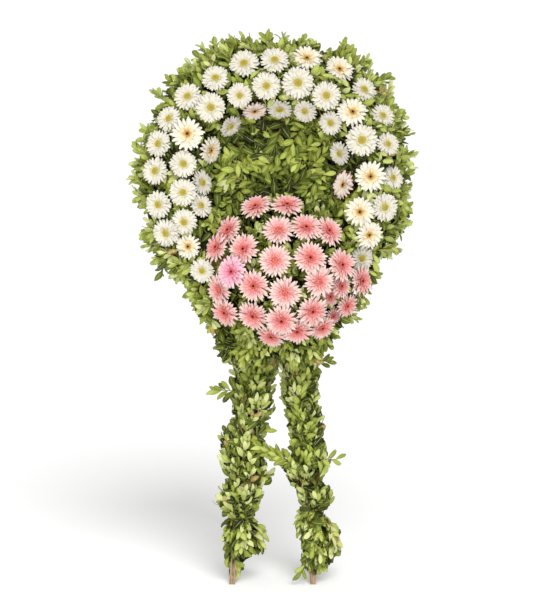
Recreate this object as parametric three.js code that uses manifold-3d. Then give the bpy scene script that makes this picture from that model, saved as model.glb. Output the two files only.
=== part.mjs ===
/**
 * A memorial wreath on its batten easel.
 *
 * A straw ring with a straw web hangs in front of two battens that meet behind its top. A third batten
 * props it from behind. Evergreen sprigs are bound over the ring, the web, the chin and both front legs.
 * Gerberas are wired in twos and threes to picks that run into the straw: three rows of white ones round
 * the ring, and a mound of pink ones low on it.
 *
 * Units are millimetres and degrees. The easel's own frame has x to the right, y to the back and z up
 * along the leaning battens, with its origin on the floor between the front feet. The exported group
 * stands it up, so that +Z is up, -Y is the front and the origin is under the middle of its box.
 */
import * as THREE from "three";
import { mergeVertices } from "three/addons/utils/BufferGeometryUtils.js";
import Module from "manifold-3d";

const wasm = await Module();
wasm.setup();

// ---------------------------------------------------------------- driving dimensions

const LEAN = 10; // how far the front legs lean back

const BATTEN = { width: 20, depth: 40 };
const FOOT_SPREAD = 270; // between the front legs' centre lines at the floor
const TOP_SPREAD = 36; // the same at their top ends
const LEG_TOP = 1700;
const REAR_FOOT = { x: -110, back: 610 }; // on the floor, behind the left leg's greenery
const RAIL = { width: 40, depth: 20 };
const UPPER_RAIL = { up: 1600, length: 150 };
const LOWER_RAIL = { up: 1030, length: 440 };
const SCREW = { radius: 3, head: 7, headHeight: 4, reach: 48 };
const GAP = 0.4; // clearance between pieces that touch

const RING_UP = 1338; // the ring's centre above the floor, along the easel
const RING_RADIUS = 306; // to the middle of the straw rope
const STRAW_RADIUS = 88;
const GREENERY_INSIDE = 93; // the inner radius of the greenery's wrap round the rope
const RING_Y = -(BATTEN.depth / 2 + STRAW_RADIUS + GAP);
const WEB = { front: 12, back: 38 }; // the straw web's faces, behind the ring's middle plane
const RING_SECTOR = { from: -50, to: 230, count: 6 }; // where the ring's own greenery runs
// The wrap's outer radius at each turn round the rope, from straight ahead (0) to outwards (90).
const WRAP = [[-78, 99], [-40, 103], [0, 103], [42, 103], [62, 112], [80, 133], [98, 138], [114, 120]];

// How much further out than elsewhere the sprigs reach, by angle round the ring.
const FLARE = [
  [-50, 40],
  [-38, 0],
  [8, 6],
  [34, 50],
  [56, 56],
  [90, 6],
  [120, 52],
  [146, 0],
  [202, 0],
  [220, 26],
  [230, 6],
];

const MOUND = { x: 49, z: RING_UP - 310, sphereBack: 59, straw: 243, blooms: 294, base: 6, lean: 46 };

const CHIN = { front: RING_Y - 52, back: -BATTEN.depth / 2 - GAP, bevel: 26 };
const CHIN_OUTLINE = [
  [-312, -322],
  [-276, -395],
  [-196, -512],
  [-164, -588],
  [152, -588],
  [200, -520],
  [284, -395],
  [316, -322],
];

const STEM_RADIUS = 2.6;
const STEM_SIDES = 3;
const WHITE_DISTANCE = 130; // bloom from the middle of the straw rope
const WHITE_FORK = 91; // where two wired stems meet on their pick, from the same middle
const PINK_FORK = 247; // the same for the mound, from its sphere's centre
const PICK_LENGTH = 45; // how far a pick runs in from the fork
const LEVEL = 14; // how much lower a bloom sits that tucks behind its neighbours

const BLOOM = {
  pink: { diameter: 97, colour: "#f08d97" },
  white: { diameter: 86, colour: "#f6f4ee" },
  cream: { diameter: 91, colour: "#f7ead0" },
};

const PETALS = 9;
const HEAD_BACK = 9; // from the back of a head, where its stem joins, to its petals' face

// ---------------------------------------------------------------- materials

const material = (color, roughness) => new THREE.MeshStandardMaterial({ color, roughness, metalness: 0 });
const WOOD = material("#b79468", 0.75);
const STRAW = material("#c2a765", 0.9);
const LEAF = material("#7d9a3c", 0.55);
const TWINE = material("#4d6b35", 0.8);
const STEEL = new THREE.MeshStandardMaterial({ color: "#a8a9ab", roughness: 0.35, metalness: 1 });
const PETAL = {
  pink: material(BLOOM.pink.colour, 0.6),
  white: material(BLOOM.white.colour, 0.6),
  cream: material(BLOOM.cream.colour, 0.6),
};

// ---------------------------------------------------------------- solids

const radians = THREE.MathUtils.degToRad;
const vector = (x, y, z) => new THREE.Vector3(x, y, z);
const FRONT = vector(0, -1, 0);

/** Random numbers from 0 to 1 that are the same on each run. */
function seeded(seed) {
  let state = seed;
  return () => {
    state = (Math.imul(state, 1664525) + 1013904223) >>> 0;
    return state / 2 ** 32;
  };
}

/** A closed geometry as a solid that can be joined and cut. */
function solidOf(geometry) {
  const bare = geometry.clone();
  bare.deleteAttribute("normal");
  bare.deleteAttribute("uv");
  const merged = mergeVertices(bare, 1e-3);
  const corners = [];
  for (let i = 0; i < merged.index.count; i += 3) {
    const [a, b, c] = [0, 1, 2].map((k) => merged.index.getX(i + k));
    if (a !== b && b !== c && a !== c) corners.push(a, b, c);
  }
  const vertProperties = merged.attributes.position.array;
  const triVerts = new Uint32Array(corners);
  return new wasm.Manifold(new wasm.Mesh({ numProp: 3, vertProperties, triVerts }));
}

/** A solid's faces as a geometry. */
function geometryOf(solid) {
  const mesh = solid.getMesh();
  return new THREE.BufferGeometry()
    .setAttribute("position", new THREE.BufferAttribute(mesh.vertProperties, 3))
    .setIndex(new THREE.BufferAttribute(mesh.triVerts, 1));
}

/** Several geometries joined in one solid. */
function joined(geometries) {
  return geometries.map(solidOf).reduce((whole, piece) => whole.add(piece));
}

/** The largest body of a solid, without the crumbs that a cut leaves. */
function largest(solid) {
  return solid.decompose().reduce((best, body) => (body.volume() > best.volume() ? body : best));
}

/** The matrix that puts local +Y along `direction` at `origin`, with local +Z turned towards `facing`. */
function along(origin, direction, facing = FRONT) {
  const y = direction.clone().normalize();
  const x = y.clone().cross(facing);
  if (x.lengthSq() < 1e-6) x.copy(y).cross(vector(1, 0, 0.01));
  x.normalize();
  return new THREE.Matrix4().makeBasis(x, y, x.clone().cross(y)).setPosition(origin);
}

/** A round or many-sided rod between two points. */
function rod(from, to, radius, sides) {
  const length = from.distanceTo(to);
  return new THREE.CylinderGeometry(radius, radius, length, sides)
    .translate(0, length / 2, 0)
    .applyMatrix4(along(from, to.clone().sub(from)));
}

/** A batten between two points, its depth facing the front. */
function batten(from, to, width, depth) {
  const length = from.distanceTo(to);
  return new THREE.BoxGeometry(width, length, depth)
    .translate(0, length / 2, 0)
    .applyMatrix4(along(from, to.clone().sub(from)));
}

/** A leaf as a thin lozenge that grows from `root` along `direction`, its face turned to `facing`. */
function leaf(root, direction, facing, length, width) {
  const thickness = 4.5;
  return new THREE.OctahedronGeometry(1)
    .scale(width / 2, length / 2, thickness / 2)
    .translate(0, length / 2, 0)
    .applyMatrix4(along(root, direction, facing));
}

// ---------------------------------------------------------------- where things are

const easelMatrix = new THREE.Matrix4().makeRotationX(-radians(LEAN));
const toEasel = easelMatrix.clone().invert();

/** The outward direction in the ring's plane at an angle from +X, anticlockwise as seen from the front. */
const outward = (angle) => vector(Math.cos(radians(angle)), 0, Math.sin(radians(angle)));

/** The middle of the straw rope at an angle. */
const ropeMiddle = (angle) => vector(0, RING_Y, RING_UP).addScaledVector(outward(angle), RING_RADIUS);

/** The direction away from the rope's middle, `turn` from straight ahead towards outwards. */
function ropeNormal(angle, turn) {
  const ahead = FRONT.clone().multiplyScalar(Math.cos(radians(turn)));
  return ahead.addScaledVector(outward(angle), Math.sin(radians(turn)));
}

/** Bends a bar to the ring: x grows outwards, y to the back, and z is the angle in degrees. */
function bendRound(geometry) {
  const place = geometry.attributes.position;
  for (let i = 0; i < place.count; i += 1) {
    const [x, y, angle] = [place.getX(i), place.getY(i), place.getZ(i)];
    const point = ropeMiddle(angle).addScaledVector(outward(angle), x).addScaledVector(FRONT, -y);
    place.setXYZ(i, point.x, point.y, point.z);
  }
  return geometry;
}

/** The wrap's outer radius at a turn round the rope. */
function wrapRadius(turn) {
  const next = WRAP.findIndex(([at]) => at >= turn);
  if (next <= 0) return WRAP[next === 0 ? 0 : WRAP.length - 1][1];
  const [[fromTurn, fromRadius], [toTurn, toRadius]] = [WRAP[next - 1], WRAP[next]];
  return THREE.MathUtils.mapLinear(turn, fromTurn, toTurn, fromRadius, toRadius);
}

/** A sector of the greenery's wrap round the rope; an inner radius of 0 fills it, and `margin` grows it. */
function ropeWrap(inner, from, to, margin = 0) {
  const middle = new THREE.Vector2();
  const point = (turn, radius) => new THREE.Vector2(0, -radius).rotateAround(middle, radians(turn));
  const [first, last] = [WRAP[0][0] - margin, WRAP[WRAP.length - 1][0] + margin];
  const outside = [first, ...WRAP.slice(1, -1).map(([turn]) => turn), last];
  const corners = outside.map((turn) => point(turn, wrapRadius(turn) + margin));
  const bends = 8;
  for (let i = bends; i >= 0 && inner > 0; i -= 1) {
    corners.push(point(THREE.MathUtils.lerp(first, last, i / bends), inner));
  }
  if (inner === 0) corners.push(point(0, 0));
  const steps = Math.max(1, Math.round((to - from) / 12));
  return bendRound(
    new THREE.ExtrudeGeometry(new THREE.Shape(corners), { depth: to - from, steps, bevelEnabled: false })
      .translate(0, 0, from),
  );
}

/** The front leg's centre line at a height along the easel; side is -1 for the left and 1 for the right. */
function legPoint(side, up) {
  const half = FOOT_SPREAD / 2 + ((TOP_SPREAD - FOOT_SPREAD) / 2) * (up / LEG_TOP);
  return vector(side * half, 0, up);
}

// ---------------------------------------------------------------- timber easel

const floorBlock = new THREE.BoxGeometry(2000, 3000, 400).translate(0, 0, -200);
const floorBelow = solidOf(floorBlock.applyMatrix4(toEasel));

/** One of the two front legs, cut off level at the floor. */
function frontLeg(side) {
  const bar = batten(legPoint(side, -40), legPoint(side, LEG_TOP), BATTEN.width, BATTEN.depth);
  return solidOf(bar).subtract(floorBelow);
}

/** A rail across the back of the front legs. */
function rail(spec) {
  const bar = new THREE.BoxGeometry(spec.length, RAIL.depth, RAIL.width);
  return solidOf(bar.translate(0, BATTEN.depth / 2 + GAP + RAIL.depth / 2, spec.up));
}

const railBack = BATTEN.depth / 2 + GAP + RAIL.depth;
const rearTop = vector(0, railBack + 18, UPPER_RAIL.up + 26);
const rearFoot = vector(REAR_FOOT.x, REAR_FOOT.back, 0).applyMatrix4(toEasel);

/** The prop behind, cut level at the floor and bevelled to lie flat on the upper rail. */
function rearLeg() {
  const past = rearFoot.clone().sub(rearTop).normalize();
  const railSpace = new THREE.BoxGeometry(400, 200, 600).translate(0, railBack + GAP - 100, UPPER_RAIL.up);
  return solidOf(batten(rearTop, rearFoot.clone().addScaledVector(past, 60), BATTEN.width, BATTEN.depth))
    .subtract(solidOf(railSpace))
    .subtract(floorBelow);
}

/** The screw through the upper rail into the prop, with its head on the rail's front. */
function screw(clearance) {
  const point = (back) => vector(0, BATTEN.depth / 2 + back, UPPER_RAIL.up);
  const head = rod(point(-SCREW.headHeight), point(0), SCREW.head, 10);
  const shank = rod(point(-1), point(SCREW.reach + clearance), SCREW.radius + clearance, 10);
  return clearance > 0 ? solidOf(shank) : joined([head, shank]);
}

/** The stay from the lower rail back to the prop, cut to both. */
function rearStay(prop) {
  const start = vector(-60, railBack + GAP, LOWER_RAIL.up);
  const share = (rearTop.z - LOWER_RAIL.up) / (rearTop.z - rearFoot.z);
  const meet = rearTop.clone().lerp(rearFoot, share);
  const bar = solidOf(batten(start, vector(meet.x, meet.y, LOWER_RAIL.up - 40), 15, 30));
  const clearProp = solidOf(
    batten(rearTop, rearFoot.clone(), BATTEN.width + 2 * GAP, BATTEN.depth + 2 * GAP),
  );
  const railSpace = new THREE.BoxGeometry(600, 200, 200).translate(0, railBack + GAP - 100, LOWER_RAIL.up);
  return largest(bar.subtract(clearProp).subtract(solidOf(railSpace)));
}

// ---------------------------------------------------------------- straw

/** The straw ring with its web: a turned dish with a round rim. */
function strawBase(grow = 0) {
  const radius = STRAW_RADIUS + grow;
  const [front, back] = [-WEB.front + grow, -WEB.back - grow];
  const frontTurn = Math.asin(front / radius);
  const backTurn = Math.asin(back / radius);
  const section = [new THREE.Vector2(0, back)];
  const bends = 9;
  for (let i = 0; i <= bends; i += 1) {
    const turn = Math.PI - backTurn + (i / bends) * (2 * Math.PI + backTurn - frontTurn);
    section.push(new THREE.Vector2(RING_RADIUS + radius * Math.cos(turn), radius * Math.sin(turn)));
  }
  section.push(new THREE.Vector2(0, front));
  return new THREE.LatheGeometry(section, 28)
    .applyMatrix4(along(vector(0, RING_Y, RING_UP), FRONT, vector(1, 0, 0)));
}

const moundCentre = vector(MOUND.x, RING_Y + MOUND.sphereBack, MOUND.z);

// ---------------------------------------------------------------- blooms

/** A gerbera head: a shallow cup of pointed petals round a raised eye, facing +Y from its back's middle. */
function bloomHead(diameter) {
  const radius = diameter / 2;
  const profile = [[0, 0], [radius, HEAD_BACK + 4], [radius * 0.3, HEAD_BACK], [0, HEAD_BACK + 6]];
  const head = new THREE.LatheGeometry(profile.map(([x, y]) => new THREE.Vector2(x, y)), PETALS * 2);
  const place = head.attributes.position;
  const notch = 0.78;
  for (let i = 0; i < place.count; i += 1) {
    const [x, z] = [place.getX(i), place.getZ(i)];
    const betweenPetals = Math.round(Math.atan2(x, z) / (Math.PI / PETALS)) % 2 !== 0;
    const onRim = Math.hypot(x, z) > radius * 0.9;
    if (betweenPetals && onRim) place.setXYZ(i, x * notch, place.getY(i), z * notch);
  }
  return head;
}

/** The back of a bloom's head, where its stem joins. */
const headBack = ({ position, facing }) => position.clone().addScaledVector(facing, -HEAD_BACK);

/** A bloom's head in its place. */
function placedHead(bloom) {
  return bloomHead(bloom.diameter).applyMatrix4(along(headBack(bloom), bloom.facing, vector(0.3, 0.1, 1)));
}

/** The stems of blooms wired to one pick: they meet at `fork` and run on as the pick to `end`. */
function wiredStems(blooms, fork, end, grow = 0) {
  const pick = rod(end, fork.clone().lerp(end, -0.06), STEM_RADIUS + grow + 0.4, STEM_SIDES);
  const stems = blooms.map((bloom) => {
    const join = headBack(bloom).addScaledVector(bloom.facing, 4);
    const aside = fork.clone().sub(join).projectOnPlane(bloom.facing).setLength(9);
    return rod(fork, join.add(aside), STEM_RADIUS + grow, STEM_SIDES);
  });
  return [pick, ...stems];
}

/** The space that a bloom's head takes, with a little clearance. */
function headSpace(bloom) {
  const depth = HEAD_BACK + 9;
  const radius = bloom.diameter / 2 + 2.2;
  const disc = new THREE.CylinderGeometry(radius, radius, depth, 12);
  const middle = headBack(bloom).addScaledVector(bloom.facing, depth / 2 - 1);
  return solidOf(disc.applyMatrix4(along(middle, bloom.facing, vector(0.3, 0.1, 1))));
}

/** A place for a white bloom, from its angle round the ring and its distance from the ring's centre. */
function ringSpot(angle, radius, diameter, level, tilt) {
  const sideways = radius - RING_RADIUS;
  const distance = WHITE_DISTANCE - level * LEVEL;
  const height = Math.sqrt(Math.max(distance ** 2 - sideways ** 2, 55 ** 2));
  const turn = THREE.MathUtils.radToDeg(Math.asin(THREE.MathUtils.clamp(sideways / distance, -0.7, 0.7)));
  const position = ropeMiddle(angle)
    .addScaledVector(outward(angle), sideways)
    .addScaledVector(FRONT, height);
  return { position, facing: ropeNormal(angle, turn * tilt), diameter };
}

/**
 * The white rows: each pick holds one to three blooms, and a bloom is its angle round the ring, how much
 * further out than the row it sits, its kind and how many levels lower it tucks in.
 */
const WHITE_ROWS = [
  {
    name: "outer",
    radius: 378,
    tilt: 0.7,
    picks: [
      [[-42, 12, "white", 1], [-31, -16, "cream", 0]],
      [[-15, -4, "white", 0], [0, 12, "white", 1]],
      [[16, 10, "white", 0], [29.5, 34, "white", 0]],
      [[44, 36, "white", 0], [58.5, 38, "cream", 0]],
      [[74, 24, "cream", 0], [89, 0, "white", 0]],
      [[104, 0, "white", 0], [120, -10, "white", 0]],
      [[136.5, 0, "white", 0], [150.5, 6, "white", 0]],
      [[163.5, 6, "white", 0], [177, 0, "white", 0]],
      [[193.5, 0, "white", 0], [207.5, 10, "white", 0]],
      [[219.5, -26, "cream", 1], [233, 0, "white", 0]],
    ],
  },
  {
    name: "middle",
    radius: 306,
    tilt: 1,
    picks: [
      [[-22, -4, "cream", 0], [0, 8, "cream", 0]],
      [[22, 4, "white", 0], [39, 26, "cream", 1]],
      [[56.5, 6, "white", 0], [75, 6, "white", 0]],
      [[94, -14, "white", 0], [112, -24, "white", 0]],
      [[132, -8, "white", 0], [153.5, 0, "cream", 0]],
      [[172, -16, "white", 0], [190, -14, "white", 0]],
      [[207, 14, "white", 1]],
    ],
  },
  {
    name: "inner",
    radius: 228,
    tilt: 1.3,
    picks: [
      [[-6, 2, "cream", 1], [20, 2, "white", 1]],
      [[43, 28, "white", 1], [64, 10, "white", 1]],
      [[84, -4, "white", 1], [105, -4, "cream", 1]],
      [[129, -12, "white", 1], [156, -8, "cream", 1]],
      [[184, 0, "white", 1], [201.5, 20, "white", 1]],
    ],
  },
];

/**
 * The pink picks on the mound: a bloom is how far across and up from the mound's middle it sits, how many
 * levels lower it tucks in, and its share of the full size.
 */
const PINK_PICKS = [
  [[-103, 213, 0, 1], [-2, 216, 0, 1], [-31, 140, 1, 1]],
  [[-190, 137, 0, 1], [-219, 79, -1, 0.95], [-140, 74, 0, 1]],
  [[57, 141, 0, 1], [128, 132, 0, 1], [70, 45, 0, 1]],
  [[-42, 35, 0, 1], [-9, -64, 0, 1], [-107, -42, 0, 1]],
  [[-170, 2, -0.8, 1], [-219, -52, 0, 1], [-201, -125, 0, 1]],
  [[-115, -143, 1, 1], [-20, -152, 0, 1], [-58, -222, 2, 0.9]],
  [[170, 23, 0, 1], [247, -26, 1, 1]],
  [[98, -30, 0.3, 1], [158, -88, 3, 0.7]],
  [[76, -122, 0, 1], [31, -193, 1, 1]],
  [[184, -46, 1.5, 0.75], [210, -114, 2, 0.8]],
  [[116, -184, 1, 0.85], [170, -160, 3, 0.6]],
];

/** The white picks: what they are called, their blooms, and where they fork and end in the straw. */
function whitePicks() {
  return WHITE_ROWS.flatMap(({ name, radius, tilt, picks }) =>
    picks.map((blooms, index) => {
      const spots = blooms.map(([angle, out, kind, level]) =>
        ringSpot(angle, radius + out, BLOOM[kind].diameter, level, tilt));
      const middle = blooms.reduce((sum, [angle]) => sum + angle, 0) / blooms.length;
      const turn = { outer: 30, middle: 0, inner: -30 }[name];
      const at = (distance) => ropeMiddle(middle).addScaledVector(ropeNormal(middle, turn), distance);
      return {
        name: `white_gerberas_${name}_${String(index + 1).padStart(2, "0")}`,
        kind: blooms[0][2],
        spots,
        fork: at(WHITE_FORK),
        end: at(WHITE_FORK - PICK_LENGTH),
      };
    }));
}

/** The pink picks, in the same form. */
function pinkPicks() {
  return PINK_PICKS.map((blooms, index) => {
    const spots = blooms.map(([across, up, level, share]) => {
      const forward = Math.sqrt(MOUND.blooms ** 2 - across ** 2 - up ** 2);
      const lean = Math.min(Math.atan2(Math.hypot(across, up), forward), radians(MOUND.lean));
      const facing = vector(across, 0, up).setLength(Math.sin(lean)).addScaledVector(FRONT, Math.cos(lean));
      const position = moundCentre.clone()
        .add(vector(across, -forward, up))
        .addScaledVector(facing, -level * LEVEL);
      return { position, facing, diameter: BLOOM.pink.diameter * share };
    });
    const middle = spots.reduce((sum, { facing }) => sum.add(facing), vector(0, 0, 0)).normalize();
    const at = (distance) => moundCentre.clone().addScaledVector(middle, distance);
    return {
      name: `pink_gerberas_${String(index + 1).padStart(2, "0")}`,
      kind: "pink",
      spots,
      fork: at(PINK_FORK),
      end: at(PINK_FORK - PICK_LENGTH),
    };
  });
}

// ---------------------------------------------------------------- greenery

const picks = [...whitePicks(), ...pinkPicks()];
const allBlooms = picks.flatMap(({ spots }) => spots);

/** Points along a leaf from its root to its tip. */
function leafPoints(root, direction, length) {
  const way = direction.clone().normalize();
  return [0.25, 0.6, 1].map((share) => root.clone().addScaledVector(way, length * share));
}

/** Whether a leaf's points come too near a bloom. */
function meetsBloom(points) {
  return allBlooms.some(({ position, facing, diameter }) =>
    points.some((point) => {
      const away = point.clone().sub(position);
      const height = away.dot(facing);
      return height > -16 && height < 30 && away.lengthSq() - height ** 2 < (diameter / 2 + 6) ** 2;
    }));
}

/** Whether a leaf's points run into the mound. */
const meetsMound = (points) => points.some((point) => point.distanceTo(moundCentre) < MOUND.straw + 26);

/** The ring's rows of leaves: their turn round the rope, their number in a sector, length and splay. */
const RING_LEAVES = [
  { turn: 98, count: 8, length: 46, splay: 24 },
  { turn: 76, count: 5, length: 44, splay: 34 },
  { turn: 17, count: 3, length: 34, splay: 60 },
  { turn: -66, count: 4, length: 38, splay: 50 },
];

/** How much further out than elsewhere the sprigs reach at an angle round the ring. */
function flareAt(angle) {
  const next = Math.max(1, FLARE.findIndex(([end]) => end >= angle));
  const [[a0, f0], [a1, f1]] = [FLARE[next - 1], FLARE[next]];
  return THREE.MathUtils.lerp(f0, f1, (angle - a0) / (a1 - a0));
}

/** The greenery over one sector of the ring: a wrap with leaves that stand off it. */
function ringGreenery(index) {
  const span = (RING_SECTOR.to - RING_SECTOR.from) / RING_SECTOR.count;
  const [from, to] = [RING_SECTOR.from + index * span + 0.05, RING_SECTOR.from + (index + 1) * span - 0.05];
  const random = seeded(11 + index);
  const parts = [ropeWrap(GREENERY_INSIDE, from, to)];
  for (const { turn, count, length, splay } of RING_LEAVES) {
    for (let i = 0; i < count; i += 1) {
      const angle = from + ((i + 0.5) / count) * (to - from) + (random() - 0.5) * 2;
      const leafTurn = turn + (random() - 0.5) * 16;
      const normal = ropeNormal(angle, leafTurn);
      const flow = outward(angle + 90).multiplyScalar(Math.sin(radians(splay * (random() * 2 - 1))));
      const direction = normal.clone().add(flow);
      const flare = turn > 60 ? flareAt(angle) : 0;
      const size = length * (0.85 + 0.3 * random()) + 0.85 * flare;
      const root = ropeMiddle(angle).addScaledVector(normal, wrapRadius(leafTurn) - 9);
      const points = leafPoints(root, direction, size);
      const atEdge = Math.min(angle - from, to - angle) < 1.6;
      const overChin = points.some((point) => point.z < RING_UP + CHIN_OUTLINE[0][1] + 14);
      if (atEdge || overChin || meetsBloom(points) || meetsMound(points)) continue;
      const facing = Math.abs(turn) > 40 ? FRONT : outward(angle);
      parts.push(leaf(root, direction, facing, size, 20 + 0.3 * flare));
    }
  }
  return joined(parts).intersect(solidOf(ropeWrapSpace(from, to)));
}

/** The wedge of space that one sector's leaves may use. */
function ropeWrapSpace(from, to) {
  const [inside, outside, depth] = [-190, 200, 260];
  const block = new THREE.Shape([
    new THREE.Vector2(inside, -depth),
    new THREE.Vector2(outside, -depth),
    new THREE.Vector2(outside, depth),
    new THREE.Vector2(inside, depth),
  ]);
  const bar = new THREE.ExtrudeGeometry(block, { depth: to - from, steps: 3, bevelEnabled: false });
  return bendRound(bar.translate(0, 0, from));
}

/** The leafy pad over the straw web, inside the ring. */
function centreGreenery() {
  const radius = RING_RADIUS - wrapRadius(-78) - 5;
  const front = RING_Y + WEB.front - GAP;
  const thickness = 16;
  const pad = new THREE.CylinderGeometry(radius, radius, thickness, 20)
    .translate(0, front - thickness / 2, RING_UP);
  const random = seeded(5);
  const parts = [pad];
  const rings = [[165, 15], [122, 11], [78, 7], [32, 3]];
  for (const [distance, count] of rings) {
    for (let i = 0; i < count; i += 1) {
      const angle = (i / count) * 360 + random() * 14;
      const root = vector(0, front - thickness + 7, RING_UP).addScaledVector(outward(angle), distance);
      const aside = outward(angle + (random() - 0.5) * 150);
      const direction = FRONT.clone().multiplyScalar(0.7).addScaledVector(aside, 0.8);
      const points = leafPoints(root, direction, 46);
      if (!meetsBloom(points) && !meetsMound(points)) parts.push(leaf(root, direction, FRONT, 46, 19));
    }
  }
  return joined(parts);
}

/** The space behind the mound's flat back, which a gap moves further back. */
function behindMound(gap) {
  const [size, back] = [800, RING_Y - MOUND.base + gap];
  return solidOf(new THREE.BoxGeometry(size, size, size).translate(MOUND.x, back + size / 2, MOUND.z));
}

/** The mound: a straw ball's front cap with leaves that stand off it between the blooms. */
function moundGreenery() {
  const ball = new THREE.SphereGeometry(MOUND.straw, 20, 12).translate(...moundCentre);
  const random = seeded(41);
  const parts = [ball];
  const count = 116;
  for (let i = 0; i < count; i += 1) {
    const lean = Math.acos(1 - (0.58 * (i + 0.5)) / count);
    const normal = outward(i * 137.5).multiplyScalar(Math.sin(lean)).addScaledVector(FRONT, Math.cos(lean));
    const root = moundCentre.clone().addScaledVector(normal, MOUND.straw - 9);
    const aside = vector(random() - 0.5, 0, random() - 0.5).projectOnPlane(normal).multiplyScalar(0.9);
    const direction = normal.clone().add(aside);
    const points = leafPoints(root, direction, 54);
    const inChin = points.some(({ y, z }) => y > CHIN.front - 8 && z < RING_UP + CHIN_OUTLINE[0][1] + 20);
    if (!inChin && !meetsBloom(points)) parts.push(leaf(root, direction, outward(i * 50), 54, 19));
  }
  return joined(parts).subtract(behindMound(0));
}

/** The greenery under the mound, between the ring and the tops of the legs. */
function chinGreenery() {
  const outline = new THREE.Shape(CHIN_OUTLINE.map(([x, z]) => new THREE.Vector2(x, z)));
  const depth = CHIN.back - CHIN.front;
  const bevel = {
    bevelThickness: CHIN.bevel,
    bevelSize: CHIN.bevel,
    bevelOffset: -CHIN.bevel,
    bevelSegments: 1,
  };
  const block = new THREE.ExtrudeGeometry(outline, { depth: depth - 2 * CHIN.bevel, ...bevel })
    .rotateX(Math.PI / 2)
    .translate(0, CHIN.back - CHIN.bevel, RING_UP);
  const random = seeded(23);
  const parts = [block];
  const grow = (root, direction) => {
    const points = leafPoints(root, direction, 50);
    if (!meetsBloom(points) && !meetsMound(points)) parts.push(leaf(root, direction, FRONT, 50, 20));
  };
  const bottomEdge = 3;
  const edges = CHIN_OUTLINE.slice(0, -1)
    .map((point, i) => [point, CHIN_OUTLINE[i + 1]])
    .filter((_, i) => i !== bottomEdge);
  for (const [[x0, z0], [x1, z1]] of edges) {
    const side = vector(z0 - z1, 0, x1 - x0).normalize().negate();
    const count = Math.round(Math.hypot(x1 - x0, z1 - z0) / 26);
    for (let i = 0; i < count; i += 1) {
      const share = (i + 0.5) / count;
      for (const back of [0.3, 0.7]) {
        const [x, z] = [THREE.MathUtils.lerp(x0, x1, share), THREE.MathUtils.lerp(z0, z1, share)];
        const root = vector(x, CHIN.front + depth * back, RING_UP + z).addScaledVector(side, -14);
        grow(root, side.clone().add(vector(random() - 0.5, -0.3 * random(), -0.5 * random())));
      }
    }
  }
  for (let i = 0; i < 14; i += 1) {
    const x = -138 + (i % 7) * 46;
    const z = -508 - Math.floor(i / 7) * 44;
    grow(vector(x + random() * 14, CHIN.front + 6, RING_UP + z), vector(random() - 0.5, -0.9, -0.5));
  }
  return joined(parts);
}

/** The bundles bound to each front leg, from the chin down: their heights and how far up their leaves point. */
const LEG_BUNDLES = {
  left: [
    { top: 742, bottom: 532, lift: 0.2 },
    { top: 530, bottom: 338, lift: 0.7 },
    { top: 336, bottom: 216, lift: 0.5 },
    { top: 206, bottom: 28, lift: -0.9 },
  ],
  right: [
    { top: 742, bottom: 588, lift: 0.2 },
    { top: 586, bottom: 446, lift: 0.3 },
    { top: 444, bottom: 250, lift: 0.6 },
    { top: 240, bottom: 28, lift: -0.9 },
  ],
};

/** Each leg's greenery: a height, how far right of the batten its middle is, and its half width there. */
const LEG_WIDTHS = {
  left: [
    [28, 4, 16],
    [60, 6, 22],
    [84, 20, 52],
    [110, 30, 68],
    [150, 22, 78],
    [190, 14, 66],
    [211, 8, 34],
    [240, 8, 62],
    [280, 5, 80],
    [320, 16, 74],
    [360, 22, 82],
    [400, 4, 90],
    [440, 0, 76],
    [500, 0, 86],
    [532, 14, 56],
    [600, 26, 72],
    [660, 20, 78],
    [742, 18, 97],
  ],
  right: [
    [28, 6, 20],
    [45, 4, 44],
    [80, 20, 56],
    [110, 32, 64],
    [150, 42, 82],
    [190, 14, 60],
    [222, 8, 42],
    [245, 12, 32],
    [270, 28, 56],
    [300, 36, 76],
    [335, 8, 60],
    [380, 0, 86],
    [420, 14, 76],
    [500, 13, 57],
    [540, 12, 64],
    [580, 0, 57],
    [640, 0, 63],
    [742, 8, 82],
  ],
};
const SLEEVE = 0.7; // the solid sleeve's share of the greenery's half width

/** Sprigs that stand off a leg: their bundle, height, angle from +X as seen from the front, and length. */
const STRAYS = {
  left: [
    { bundle: 0, up: 640, angle: 176, length: 104 },
    { bundle: 1, up: 468, angle: 24, length: 112 },
  ],
  right: [
    { bundle: 0, up: 718, angle: 14, length: 118 },
    { bundle: 2, up: 392, angle: 156, length: 142 },
    { bundle: 2, up: 412, angle: 2, length: 118 },
    { bundle: 3, up: 100, angle: -118, length: 82 },
  ],
};

/** How far right the greenery's middle is at a height, and its half width. */
function legWidth(widths, up) {
  const next = Math.max(1, widths.findIndex(([at]) => at >= up));
  const [[u0, aside0, half0], [u1, aside1, half1]] = [widths[next - 1], widths[next]];
  const share = THREE.MathUtils.clamp((up - u0) / (u1 - u0), 0, 1);
  return [THREE.MathUtils.lerp(aside0, aside1, share), THREE.MathUtils.lerp(half0, half1, share)];
}

/** A leafy sleeve's solid core round a leg, its middle following the greenery's. */
function legSleeve(side, { top, bottom }, widths) {
  const inner = widths.map(([up]) => up).filter((up) => up > bottom + 8 && up < top - 8);
  const section = [bottom, ...inner, top].map((up) => {
    const [, half] = legWidth(widths, up);
    return new THREE.Vector2(half * SLEEVE, up - bottom);
  });
  const ends = [new THREE.Vector2(0, 0), new THREE.Vector2(0, top - bottom)];
  const sleeve = new THREE.LatheGeometry([ends[0], ...section, ends[1]], 8);
  const place = sleeve.attributes.position;
  for (let i = 0; i < place.count; i += 1) {
    const [aside] = legWidth(widths, bottom + place.getY(i));
    place.setX(i, place.getX(i) + aside);
  }
  const foot = legPoint(side, bottom);
  return sleeve.applyMatrix4(along(foot, legPoint(side, top).sub(foot)));
}

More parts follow.
